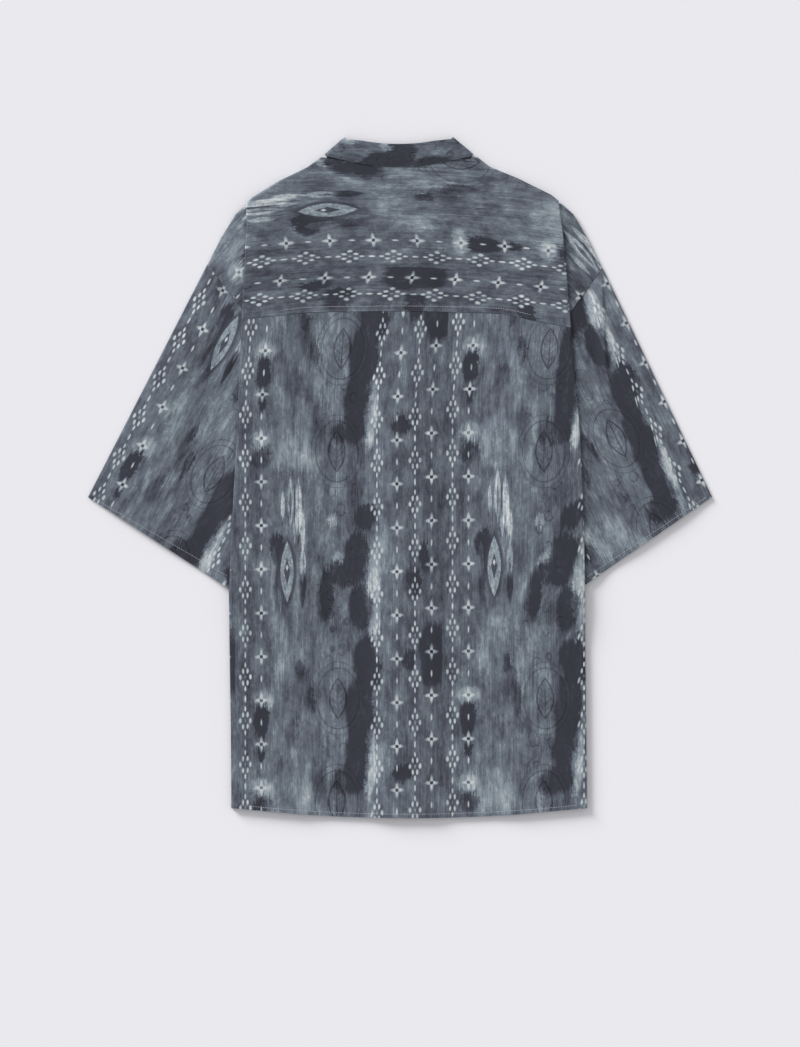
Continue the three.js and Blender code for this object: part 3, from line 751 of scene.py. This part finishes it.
def waved(rows):
    """Lifts what shows of the back."""
    lifted = []
    for row in rows:
        line = list(row)
        for column in range(MIDDLE_COLUMN - MAIN_REACH, MIDDLE_COLUMN + MAIN_REACH + 1):
            x, y, z, *cut = row[column]
            clear = 1 - smooth(MAIN_REACH - CALM_COLUMNS, MAIN_REACH, abs(column - MIDDLE_COLUMN))
            clear *= (1 - smooth(*CALM_COLLAR, y)) * smooth(*CALM_HEM, y)
            line[column] = (x, y, max(z, min(z + clear * wave(x, y), MOST_HEIGHT)), *cut)
        lifted.append(line)
    return lifted


# Topstitching: short stitches of grey cotton thread, sunk a little into the cloth, at an even pitch.
# A row of them holds down the seam allowance above the yoke seam, the back hem and each sleeve hem.
thread, thread_shader = new_material("cotton_thread")
thread_place = Value(thread.node_tree.nodes.new("ShaderNodeTexCoord").outputs["Object"])
twist = thread_place.node("ShaderNodeTexNoise", {}, {"Vector": thread_place, "Scale": 900.0, "Detail": 2.0})
thread_colour = thread_place.node("ShaderNodeValToRGB", {"blend": "LINEAR", "stops": [
    (0.3, (0.26, 0.28, 0.31, 1)), (0.7, (0.5, 0.53, 0.56, 1))]}, {0: twist})
thread.node_tree.links.new(thread_colour.socket, thread_shader.inputs["Base Color"])
thread_shader.inputs["Roughness"].default_value = 0.7

stitching = bpy.data.node_groups.new("topstitching", "GeometryNodeTree")
STITCH_SIZES = {"Pitch": 0.0028, "Length": 0.0021, "Width": 0.00065, "Height": 0.0004, "Turn": 0.12}
LINE_STEP = 1.4
ABOVE_ALL = 0.05
CLEAR_OF_CLOTH = 0.00004
stitching.interface.new_socket(name="Line", in_out="INPUT", socket_type="NodeSocketGeometry")
for size_name in STITCH_SIZES:
    stitching.interface.new_socket(name=size_name, in_out="INPUT", socket_type="NodeSocketFloat")
stitching.interface.new_socket(name="Seed", in_out="INPUT", socket_type="NodeSocketInt")
stitching.interface.new_socket(name="Stitches", in_out="OUTPUT", socket_type="NodeSocketGeometry")
stitch_input = stitching.nodes.new("NodeGroupInput")
given = {socket.name: Value(socket) for socket in stitch_input.outputs if socket.name}
seam_line = given["Line"].node("GeometryNodeMeshToCurve", sockets={"Mesh": given["Line"]})
seam_points = seam_line.node("GeometryNodeResampleCurve", {"mode": "LENGTH"}, {
    "Curve": seam_line, "Length": given["Pitch"]})
one_stitch = seam_line.node("GeometryNodeMeshUVSphere", sockets={"Segments": 6, "Rings": 4, "Radius": 0.5})
stitch_size = seam_line.node("ShaderNodeCombineXYZ", sockets={
    0: given["Length"], 1: given["Width"], 2: given["Height"]})
along_seam = seam_line.node("GeometryNodeInputTangent")
straight = seam_line.node("FunctionNodeAlignRotationToVector", {"axis": "X"}, {"Vector": along_seam})
skew = seam_line.node("FunctionNodeRandomValue", {"data_type": "FLOAT"}, {
    2: given["Turn"] * -1.0, 3: given["Turn"], "Seed": given["Seed"]}, 1)
skewed = seam_line.node("ShaderNodeCombineXYZ", sockets={2: skew})
laid_skewed = seam_line.node("FunctionNodeRotateRotation", {"rotation_space": "LOCAL"}, {
    "Rotation": straight, "Rotate By": seam_line.node("FunctionNodeEulerToRotation", sockets={0: skewed})})
placed_stitches = seam_line.node("GeometryNodeInstanceOnPoints", sockets={
    "Points": seam_points, "Instance": one_stitch, "Rotation": laid_skewed, "Scale": stitch_size})
real_stitches = seam_line.node("GeometryNodeRealizeInstances", sockets={0: placed_stitches})
finished_stitches = seam_line.node("GeometryNodeSetMaterial", sockets={
    "Geometry": real_stitches, "Material": thread})
stitch_output = stitching.nodes.new("NodeGroupOutput")
stitching.links.new(finished_stitches.socket, stitch_output.inputs["Stitches"])


def topstitch(name, corners, piece, seed):
    """One row of stitches along the corners, lying on top of the piece."""
    faces = [polygon.vertices for polygon in piece.data.polygons]
    cover = BVHTree.FromPolygons([vertex.co for vertex in piece.data.vertices], faces)
    points = []
    for a, b in zip(corners, corners[1:]):
        count = max(1, round(math.dist(a, b) / LINE_STEP))
        points += [mix_point(a, b, n / count) for n in range(count)]
    laid = []
    for x, y in [*points, corners[-1]]:
        met = cover.ray_cast(Vector((x * MM, y * MM, ABOVE_ALL)), Vector((0, 0, -1)))[0]
        laid.append(met + Vector((0, 0, CLEAR_OF_CLOTH)))
    line_mesh = bpy.data.meshes.new(name)
    line_mesh.from_pydata(laid, [(n, n + 1) for n in range(len(laid) - 1)], [])
    row = new_object(name, line_mesh)
    sewing = row.modifiers.new("topstitching", "NODES")
    sewing.node_group = stitching
    for item in stitching.interface.items_tree:
        if item.in_out == "INPUT" and item.name in STITCH_SIZES:
            sewing[item.identifier] = STITCH_SIZES[item.name]
        elif item.name == "Seed":
            sewing[item.identifier] = seed
    bpy.context.view_layer.update()
    sewn = bpy.data.meshes.new_from_object(row.evaluated_get(bpy.context.evaluated_depsgraph_get()))
    row.modifiers.clear()
    row.data = sewn
    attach(row, "root")
    return row


yoke_grid = [turned_print(row) for row in [*yoke_rows[:-1], moved(seam_row, SEAM_HALF)]]
back_yoke = cloth_shell("yoke_cloth", waved(fill(yoke_grid, ROW_COUNTS)), cloth)
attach(back_yoke, "root")
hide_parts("back_yoke")

STITCH_FROM_SEAM = 6.2
STITCH_FROM_FOLD = 2
HIDDEN_ENDS = 11
yoke_line = [(p[0], p[1] + STITCH_FROM_SEAM) for p in seam_row[HIDDEN_ENDS:-HIDDEN_ENDS] if p]
inner_line = [(x, y) for x, y in yoke_line
              if body_at(y, "left") + STITCH_FROM_FOLD < x < body_at(y, "right") - STITCH_FROM_FOLD]
yoke_stitches = topstitch("yoke_topstitching", inner_line, back_yoke, 3)


# Back: one piece from the yoke seam to the hem, eased over the folded sides and the lapped fronts.
# Its sides turn under at the folded edges and run back in to the side seams.
UNDERARM = 50
HEM = -380
HEM_DIP = 11.6
DIP_START = -290
HEM_TURNED = 4.5
HEM_STEP = 1.5
HEM_THICKER = 0.7
HEM_STITCHED = 4.6
HEM_STITCH_REACH = range(-182, 203, 8)
SEAM_EASE = 7.5
SEAM_EASE_HEIGHTS = (60, 205)
UPPER_ROWS = 20


def side_columns(y, side, is_back):
    sign = SIDES[side]
    fold = body_at(y, side)
    inner = fold - sign * body_at(y, "tuck")
    main, turned, under = side_heights(y, is_back)
    up = 1 if is_back else -1
    points = []
    for turn in HALF_ROUND:
        x = fold - sign * (WALL / 2 + BEND - BEND * math.cos(turn))
        points.append((x, y, (main + turned) / 2 + up * BEND * math.sin(turn), x, y))
    if y < UNDERARM:
        seam = (BACK_TURNED - STACK_DROP + back_lift(y) + FRONT_TURNED) / 2 + up * EDGE_HALF
        radius = abs(turned - seam)
        for degrees in (0, 45, 90):
            turn = math.radians(degrees)
            x = inner + sign * (WALL / 2 + radius * (1 - math.sin(turn)))
            points.append((x, y, seam + up * radius * math.cos(turn), 2 * fold - x, y))
        return points + [None] * 5
    for turn in TURNED_BACK:
        x = inner + sign * (BEND + BEND * math.cos(turn))
        points.append((x, y, (turned + under) / 2 + up * BEND * math.sin(turn), 2 * fold - x, y))
    flap = body_at(y, "flap") - BEND
    for share in FLAP_SHARES:
        x = inner + sign * (BEND + flap * share)
        points.append((x, y, under, 2 * (fold - inner) + x, y))
    return points


def hem_drop(x, y):
    half = (body_at(y, "right") - body_at(y, "left")) / 2
    across = min(max(abs(x - axis_at(y)) / half, 0), 1)
    return HEM_DIP * (1 - across * across)


def with_dip(row, y):
    """Rows close to the hem take more and more of its dip."""
    share = smooth(DIP_START, HEM, y) if y > HEM else 1
    return [p and (p[0], p[1] - share * hem_drop(p[0], y), p[2], p[3], p[4] - share * hem_drop(p[0], y))
            for p in row]


def back_main(y, side):
    points = []
    for out, height in zip(back_stations(y, side), back_heights(y)):
        x = axis_at(y) + SIDES[side] * out
        points.append((x, y, height, x, y))
    return points


def back_row(y):
    left, right = ([*back_main(y, side), *side_columns(y, side, True)] for side in SIDES)
    return with_dip(left[:0:-1] + right, y)


hem_heights = [-368.5, -371, -373, -375, -377, -379, HEM]
panel_heights = [*steps(130, UNDERARM, 26), *steps(UNDERARM - 3, -366, 138), *hem_heights]
top_row = moved(seam_row, -SEAM_HALF)
first_row = back_row(panel_heights[0])
panel_rows = rows_between(top_row, first_row, steps(0, 1, UPPER_ROWS)[:-1])
panel_rows += [back_row(y) for y in panel_heights]


def hem_fold(place):
    """The hem is folded up twice: the cloth is thicker in about its last five millimetres."""
    x, y = place[..., 0], place[..., 1]
    half = (body_at(HEM, "right") - body_at(HEM, "left")) / 2
    edge = HEM - HEM_DIP * (1 - np.clip(np.abs(x - axis_at(HEM)) / half, 0, 1) ** 2)
    return HEM_THICKER * np.clip(1 - (y - edge - HEM_TURNED) / HEM_STEP, 0, 1)


def eased_print(row):
    """The columns of the print lean to the right where the cloth is eased into the yoke seam."""
    return [p and (*p[:3], p[3] - SEAM_EASE * smooth(*SEAM_EASE_HEIGHTS, p[1]), p[4]) for p in row]


panel_grid = waved(fill([eased_print(row) for row in panel_rows], ROW_COUNTS))
back_panel = cloth_shell("back_cloth", panel_grid, cloth, doubled=hem_fold)
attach(back_panel, "root")
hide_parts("back_panel")

hem_line = [(x, HEM - hem_drop(x, HEM) + HEM_STITCHED) for x in HEM_STITCH_REACH]
hem_stitches = topstitch("hem_topstitching", hem_line, back_panel, 5)


# Fronts: left and right, face down on the floor under the back, the left one lapped over the right.
# They are cut from the same cloth, and their necklines are sewn to the collar stand.
COLLAR_MIDDLE = -1.5
FRONT_NECK = [(-18, 286.5), (19.2, 289.2), (38.8, 296), (59.5, 310), (76, 334)]
FRONT_LAP = {"left": FRONT_UNDER, "right": FRONT_UNDER + LAYER}
FRONT_SHOULDER = [88, 104, 136]
COLLAR_POINT = (228, 262)
JOINING_ROWS = 10
front_shares = steps(0, 1, 20)
front_heights = [*steps(130, UNDERARM, 10), *steps(UNDERARM - 4, -372, 60), HEM]
FRONT_COUNTS = [5, 3, 4, 3, 2, 3, 5, 8] + FOLD_COUNTS + [4, 1, 1, 1, 3, 3, 3, 3]


def front_rows(side):
    sign = SIDES[side]
    outs = [out for out, _ in FRONT_NECK] + FRONT_SHOULDER
    tops = [(COLLAR_MIDDLE + sign * out, y) for out, y in FRONT_NECK] + YOKE_TOP[side][3:6]

    def height_at(n, y):
        if n < 2:
            return FRONT_LAP[side]
        over_collar = smooth(*COLLAR_POINT, y) if n < 6 else 0
        return mix(FRONT_MAIN, FRONT_TURNED, over_collar)

    columns = []
    for n, top in enumerate(tops):
        foot_y = mix(YOKE_SEAM[side][0], YOKE_SEAM[side][5], max(0, outs[n]) / outs[-1])
        foot = (axis_at(foot_y) + sign * outs[n], foot_y)
        columns.append(upper_column(top, foot, front_shares, lambda y: height_at(n, y),
                                    MIDDLE - EDGE_HALF, height_at(n, top[1]), n < len(FRONT_NECK)))
    upper = transpose(columns + shoulder_columns(side, False, front_shares))

    def front_main(y, one_side):
        points = []
        for n, out in enumerate(outs):
            x = axis_at(y) + SIDES[one_side] * out
            points.append((x, y, height_at(n, y), x, y))
        return points

    first = [*front_main(130, side), *side_columns(130, side, False)]
    between = rows_between(upper[-1], first, steps(0, 1, JOINING_ROWS)[1:-1])
    lower = [with_dip([*front_main(y, side), *side_columns(y, side, False)], y) for y in front_heights]
    return upper + between + lower


def seen_from_below(rows):
    return [[p and (*p[:3], -p[3], p[4]) for p in row] for row in rows]


fronts = {}
for side in SIDES:
    rows = seen_from_below(fill(front_rows(side), FRONT_COUNTS))
    fronts[side] = cloth_shell(f"front_cloth_{side}", rows, cloth)
    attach(fronts[side], "root")
    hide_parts(f"front_{side}")


# Sleeves: each a flat tube, cut with the columns of the print along its outer fold and set into the
# armhole at the dropped shoulder. They come out from between the layers of the body.
SLEEVE_HEM = {
    "left": ((-358.8, -22.5), (-186.3, -134.5)),
    "right": ((358.8, -22.5), (202.4, -130.5)),
}
ARMHOLE_GAP = (0.66, 0.24)
SLEEVE_PUFF = 1.5
PRINT_ON_SLEEVE = {
    "left": {"across": -10.6 - REPEAT_ACROSS, "down": -42.3, "turned": 1},
    "right": {"across": 176.5 + 3 * REPEAT_ACROSS, "down": 331.6, "turned": -1},
}


def along_line(line, distance):
    rest = distance
    for n, (a, b) in enumerate(zip(line, line[1:])):
        length = math.dist(a, b)
        if rest <= length or n == len(line) - 2:
            return mix_point(a, b, rest / length)
        rest -= length


def line_length(line):
    return sum(math.dist(a, b) for a, b in zip(line, line[1:]))


def hidden_from(line, side):
    """How far along a row, from its outer fold, the sleeve goes in under the body."""
    outside, inside = 0, line_length(line)
    for _ in range(20):
        half = (outside + inside) / 2
        x, y = along_line(line, half)
        if SIDES[side] * (x - body_at(y, side)) > SLEEVE_CLEAR:
            outside = half
        else:
            inside = half
    return outside


def armhole_line(side):
    sign = SIDES[side]
    top = SHOULDER_END[side][-1]
    seam = SEAM_AT_ARMHOLE[side]
    under = []
    for y in (130, 90, UNDERARM + 1):
        out = body_at(y, "tuck") - body_at(y, "flap")
        under.append((body_at(y, side) - sign * out, y))
    line = [top, mix_point(top, seam, 0.5), seam, *under]
    return [(x + sign * ARMHOLE_GAP[0], y - ARMHOLE_GAP[1]) for x, y in line]


def sleeve_print(side, x, y, is_top):
    """The place on the cut cloth: across from the outer fold, and down along it."""
    top = SHOULDER_END[side][-1]
    foot = SLEEVE_HEM[side][0]
    length = math.dist(top, foot)
    down = ((foot[0] - top[0]) / length, (foot[1] - top[1]) / length)
    inward = (-down[1], down[0]) if side == "left" else (down[1], -down[0])
    dx, dy = x - top[0], y - top[1]
    across = dx * inward[0] + dy * inward[1]
    along = dx * down[0] + dy * down[1]
    laid = PRINT_ON_SLEEVE[side]
    if not is_top:
        across = -across
    return FIRST_COLUMN + laid["across"] + laid["turned"] * across, laid["down"] - along


SLEEVE_COUNTS = [16, 16, 12, 16, 10, 4, 4, 4]
SLEEVE_ROWS = 110

# A crease in the top of each sleeve, where its fullness is pressed flat: its line, down from the armhole,
# how high the cloth stands beside it, and which way it leans
SLEEVE_CREASE = {
    "left": {"line": [(-186, 150), (-206, 60), (-232, -30)], "height": 0.4, "lean": 1},
    "right": {"line": [(232.3, 237.5), (234.6, 169.6), (238, 127), (246, 80)], "height": 2.1, "lean": -1},
}
CREASE_WIDTH = 17
CREASE_ENDS = 55
WAVES_ON_SLEEVE = 1.3
# Columns and rows of the sleeve between which the lift comes and goes
LIFT_COLUMNS = ((0, 6), (44, 59))
LIFT_ROWS = ((2, 9), (102, SLEEVE_ROWS))


def sleeve_lift(side, x, y):
    line = SLEEVE_CREASE[side]["line"]
    crease_x = float(np.interp(-y, [-point[1] for point in line], [point[0] for point in line]))
    out = SLEEVE_CREASE[side]["lean"] * (x - crease_x)
    fades = smooth(line[-1][1], line[-1][1] + CREASE_ENDS, y)
    slope = math.exp(-max(out, 0) / CREASE_WIDTH) * smooth(-1, 0.6, out)
    waves = wave(x * WAVES_ON_SLEEVE, y * WAVES_ON_SLEEVE)
    return SLEEVE_CREASE[side]["height"] * fades * slope + waves


def in_and_out(spans, value):
    """Comes in over the first span and goes out over the second."""
    return smooth(*spans[0], value) * (1 - smooth(*spans[1], value))


def sleeve_rows(side):
    armhole = armhole_line(side)
    total = line_length(armhole)
    shares = [line_length(armhole[:n + 1]) / total for n in range(len(armhole))]
    outer_hem, inner_hem = SLEEVE_HEM[side]
    radius = (BACK_UNDER - FRONT_UNDER) / 2
    inset = radius + WALL / 2
    rows = []
    for i in range(SLEEVE_ROWS + 1):
        line = [mix_point(start, mix_point(outer_hem, inner_hem, share), i / SLEEVE_ROWS)
                for start, share in zip(armhole, shares)]
        hidden = hidden_from(line, side)
        innermost = line_length(line) - inset - 1
        settled = hidden - SETTLE_WIDTH
        stations = [(inset, STACK_DROP, 0), (settled / 3, STACK_DROP, SLEEVE_PUFF),
                    (settled * 2 / 3, STACK_DROP, SLEEVE_PUFF), (settled, STACK_DROP, 0), (hidden, 0, 0)]
        stations += [(mix(hidden, innermost, share), 0, 0) for share in (0.25, 0.5, 0.75, 1)]

        def point(station, reach, height, is_top):
            x, y = along_line(line, station[0] + reach)
            return (x, y, MIDDLE - station[1] + height, *sleeve_print(side, x, y, is_top))

        top = fill([[point(s, 0, radius + s[2], True) for s in stations]], SLEEVE_COUNTS)[0]
        for n, (x, y, z, *cut) in enumerate(top):
            clear = in_and_out(LIFT_COLUMNS, n) * in_and_out(LIFT_ROWS, i)
            top[n] = (x, y, z + clear * sleeve_lift(side, x, y), *cut)
        under = fill([[point(s, 0, -radius, False) for s in stations[::-1]]], SLEEVE_COUNTS[::-1])[0]
        inner_turn = [point(stations[-1], radius * math.cos(turn), radius * math.sin(turn), turn >= 0)
                      for turn in (math.radians(45), 0, math.radians(-45))]
        outer_turn = [point(stations[0], -radius * math.cos(turn), radius * math.sin(turn), turn >= 0)
                      for turn in (math.radians(-45), 0, math.radians(45))]
        rows.append([*top, *inner_turn, *under, *outer_turn])
    return rows


SLEEVE_STITCHES = {"left": [(-351, -24.6), (-200, -112.4)], "right": [(350.5, -23.6), (216, -113.5)]}
sleeves = {}
for side in SIDES:
    sleeves[side] = cloth_shell(f"sleeve_cloth_{side}", sleeve_rows(side), cloth, closed=True)
    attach(sleeves[side], "root")
    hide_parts(f"sleeve_{side}")
    cuff_stitches = topstitch(f"sleeve_topstitching_{side}", SLEEVE_STITCHES[side], sleeves[side], 8)


# Collar stand: the band that the neckline is sewn to, folded flat inside the collar.
# It is hidden, apart from its edge at the neck.
COLLAR_SIDE = {
    "left": ((-62.7, 392.6), (-86.8, 371.8)),
    "right": ((59.8, 392.6), (84.5, 372)),
}
COLLAR_BACK = [(out, 362.3 + 0.001 * (1.4 * out) ** 2, (out, 383.5 + 0.0022 * out * out),
                (1.3 * out, 357 + 0.002 * (1.3 * out) ** 2)) for out in (0, 8, 16, 24, 32, 40)]
COLLAR_FRONT = [
    (76, 334.8, (50, 372), (74, 345)),
    (59.5, 311, (36, 352), (64, 320)),
    (38.8, 296.8, (22, 335), (57, 300)),
    (19.2, 290, (11, 322), (50, 280)),
    (0.8, 288.6, (2, 314), (42, 276)),
]
STAND_BACK = BACK_UNDER
LEAF_BACK = STAND_BACK + LAYER
STAND_FRONT = FRONT_TURNED
LEAF_FRONT = FRONT_MAIN
COLLAR_MID = (STAND_BACK + STAND_FRONT) / 2
STAND_INSET = 1.5
STAND_TURN = 0.16
COLLAR_COLUMN = 112
COLLAR_LEVEL = 376
COLLAR_ALONG = -108
COLLAR_COUNTS = [3] * 5 + [8] + [1] * 6 + [6, 4, 4, 4, 3]


def collar_turn(side, share, height):
    tip, foot = COLLAR_SIDE[side]
    length = math.dist(tip, foot)
    along = ((foot[0] - tip[0]) / length, (foot[1] - tip[1]) / length)
    out = (SIDES[side] * abs(along[1]), abs(along[0]))
    clear = LEAF_BACK - COLLAR_MID + WALL / 2
    base = mix_point(tip, foot, share)
    points = []
    for turn in HALF_ROUND:
        reach = -clear + height * math.cos(turn)
        z = COLLAR_MID + height * math.sin(turn)
        points.append((base[0] + out[0] * reach, base[1] + out[1] * reach, z))
    return points


def towards(a, b, distance):
    return mix_point(a, b, distance / math.dist(a, b))


def collar_place(side, place):
    return COLLAR_MIDDLE + SIDES[side] * place[0], place[1]


def collar_print(point):
    return (*point, FIRST_COLUMN + COLLAR_COLUMN - (point[1] - COLLAR_LEVEL), COLLAR_ALONG - point[0])


def stand_rows(side):
    rows = []
    for down in [n / 6 for n in range(6, -1, -1)]:
        def place(roll, out, neck):
            roll, foot = collar_place(side, roll), collar_place(side, (out, neck))
            return mix_point(towards(roll, foot, STAND_INSET), foot, down)

        back = [(*place(roll, 1.4 * out, neck), STAND_BACK) for out, neck, roll, _ in COLLAR_BACK]
        front = []
        for n, (out, neck, roll, _) in enumerate(COLLAR_FRONT):
            lapped = FRONT_LAP[side] - STAND_FRONT if n > 2 else 0
            front.append((*place(roll, out, neck), STAND_FRONT + lapped * down))
        turn = collar_turn(side, mix(STAND_TURN, 1, down), STAND_BACK - COLLAR_MID)
        rows.append([collar_print(p) for p in (*back, *turn, *front)])
    return rows


def collar_grid(rows_of):
    rows = mirror_rows(rows_of("left"), rows_of("right"))
    return fill(rows, COLLAR_COUNTS[::-1] + COLLAR_COUNTS)


collar_stand = cloth_shell("collar_stand_cloth", collar_grid(stand_rows), cloth)
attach(collar_stand, "root")
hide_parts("collar_stand")


# Collar leaf: two layers of the same cloth with a firm interlining, turned down over the stand.
# Its roll makes the top edge of the shirt, dipped at the middle of the neck.
LEAF_SETTLES = 0.55
LEAF_EDGE = 0.6
LEAF_TURN = 0.04


def leaf_rows(side):
    rows = []
    turns = []
    for degrees in (90, 60, 30, 0):
        turn = math.radians(degrees)
        turns.append((WALL / 2 + LEAF_EDGE * (1 - math.sin(turn)), LEAF_EDGE * (1 - math.cos(turn)), 0))
    flats = [(0, 0, n / 12) for n in range(1, 13)]
    for inset, drop, down in turns + flats:
        def place(roll, edge):
            roll, edge = collar_place(side, roll), collar_place(side, edge)
            return mix_point(towards(roll, edge, inset), edge, down)

        settled = drop + LEAF_SETTLES * smooth(0.5, 1, down)
        back = [(*place(roll, edge), LEAF_BACK - settled) for _, _, roll, edge in COLLAR_BACK]
        front = [(*place(roll, edge), LEAF_FRONT + drop) for _, _, roll, edge in COLLAR_FRONT]
        turn = collar_turn(side, down if down else LEAF_TURN + inset / 40, LEAF_BACK - COLLAR_MID - drop)
        rows.append([collar_print(p) for p in (*back, *turn, *front)])
    return rows


collar_leaf = cloth_shell("collar_leaf_cloth", collar_grid(leaf_rows), cloth)
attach(collar_leaf, "root")
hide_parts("collar_leaf")


# Buttons: six flat four-hole buttons of resin, cast in dark grey with a faint swirl. They are sewn down
# the lapped fronts, so they are hidden here, and the CAD's own shapes are kept.
resin, resin_shader = new_material("button_resin")
resin_place = Value(resin.node_tree.nodes.new("ShaderNodeTexCoord").outputs["Object"])
swirl = resin_place.node("ShaderNodeTexNoise", {}, {"Vector": resin_place, "Scale": 420.0, "Detail": 4.0,
                                                    "Distortion": 1.6})
resin_colour = resin_place.node("ShaderNodeValToRGB", {"blend": "EASE", "stops": [
    (0.3, (0.02, 0.022, 0.028, 1)), (0.6, (0.06, 0.065, 0.075, 1)),
    (0.8, (0.13, 0.14, 0.15, 1))]}, {0: swirl})
resin.node_tree.links.new(resin_colour.socket, resin_shader.inputs["Base Color"])
resin.node_tree.links.new((swirl * 0.15 + 0.2).socket, resin_shader.inputs["Roughness"])
for n in range(6):
    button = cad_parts[f"button_{n + 1}"]
    for slot in button.material_slots:
        slot.material = resin


# Floor: a plain pale sheet under the shirt.
paper, paper_shader = new_material("floor_paper")
paper_shader.inputs["Roughness"].default_value = 0.9
paper_shader.inputs["Specular IOR Level"].default_value = 0.1
paper_shader.inputs["Base Color"].default_value = (0.83, 0.825, 0.865, 1)
floor_mesh = bpy.data.meshes.new("floor")
reach = 6.0
floor_mesh.from_pydata([(-reach, -reach, 0), (reach, -reach, 0), (reach, reach, 0), (-reach, reach, 0)], [],
                       [(0, 1, 2, 3)])
floor_mesh.materials.append(paper)
floor = new_object("floor", floor_mesh)

# Light: a bright even room, and one soft light from the upper left, low enough to show the folds.
world = bpy.data.worlds.new("room")
world.use_nodes = True
world.node_tree.nodes["Background"].inputs["Color"].default_value = (1.0, 1.0, 1.0, 1)
world.node_tree.nodes["Background"].inputs["Strength"].default_value = 0.575
bpy.context.scene.world = world
sun = bpy.data.lights.new("soft_light", "SUN")
sun.energy = 4.0
sun.angle = math.radians(24)
sun_object = new_object("soft_light", sun)
sun_object.rotation_euler = Vector((0.62, -0.66, -0.312)).to_track_quat("-Z", "Y").to_euler()
bpy.context.scene.view_settings.view_transform = "Standard"

# Camera: straight above, with a long lens, the way the shirt was photographed.
camera_data = bpy.data.cameras.new("camera")
camera_data.type = "PERSP"
camera_data.sensor_fit = "VERTICAL"
camera_data.sensor_height = 36
camera_height = 8.0
view_height = 1.204
camera_data.lens = camera_data.sensor_height * camera_height / view_height
camera_data.clip_end = 50
camera = new_object("camera", camera_data)
camera.location = (0, -0.0529, camera_height)
bpy.context.scene.camera = camera
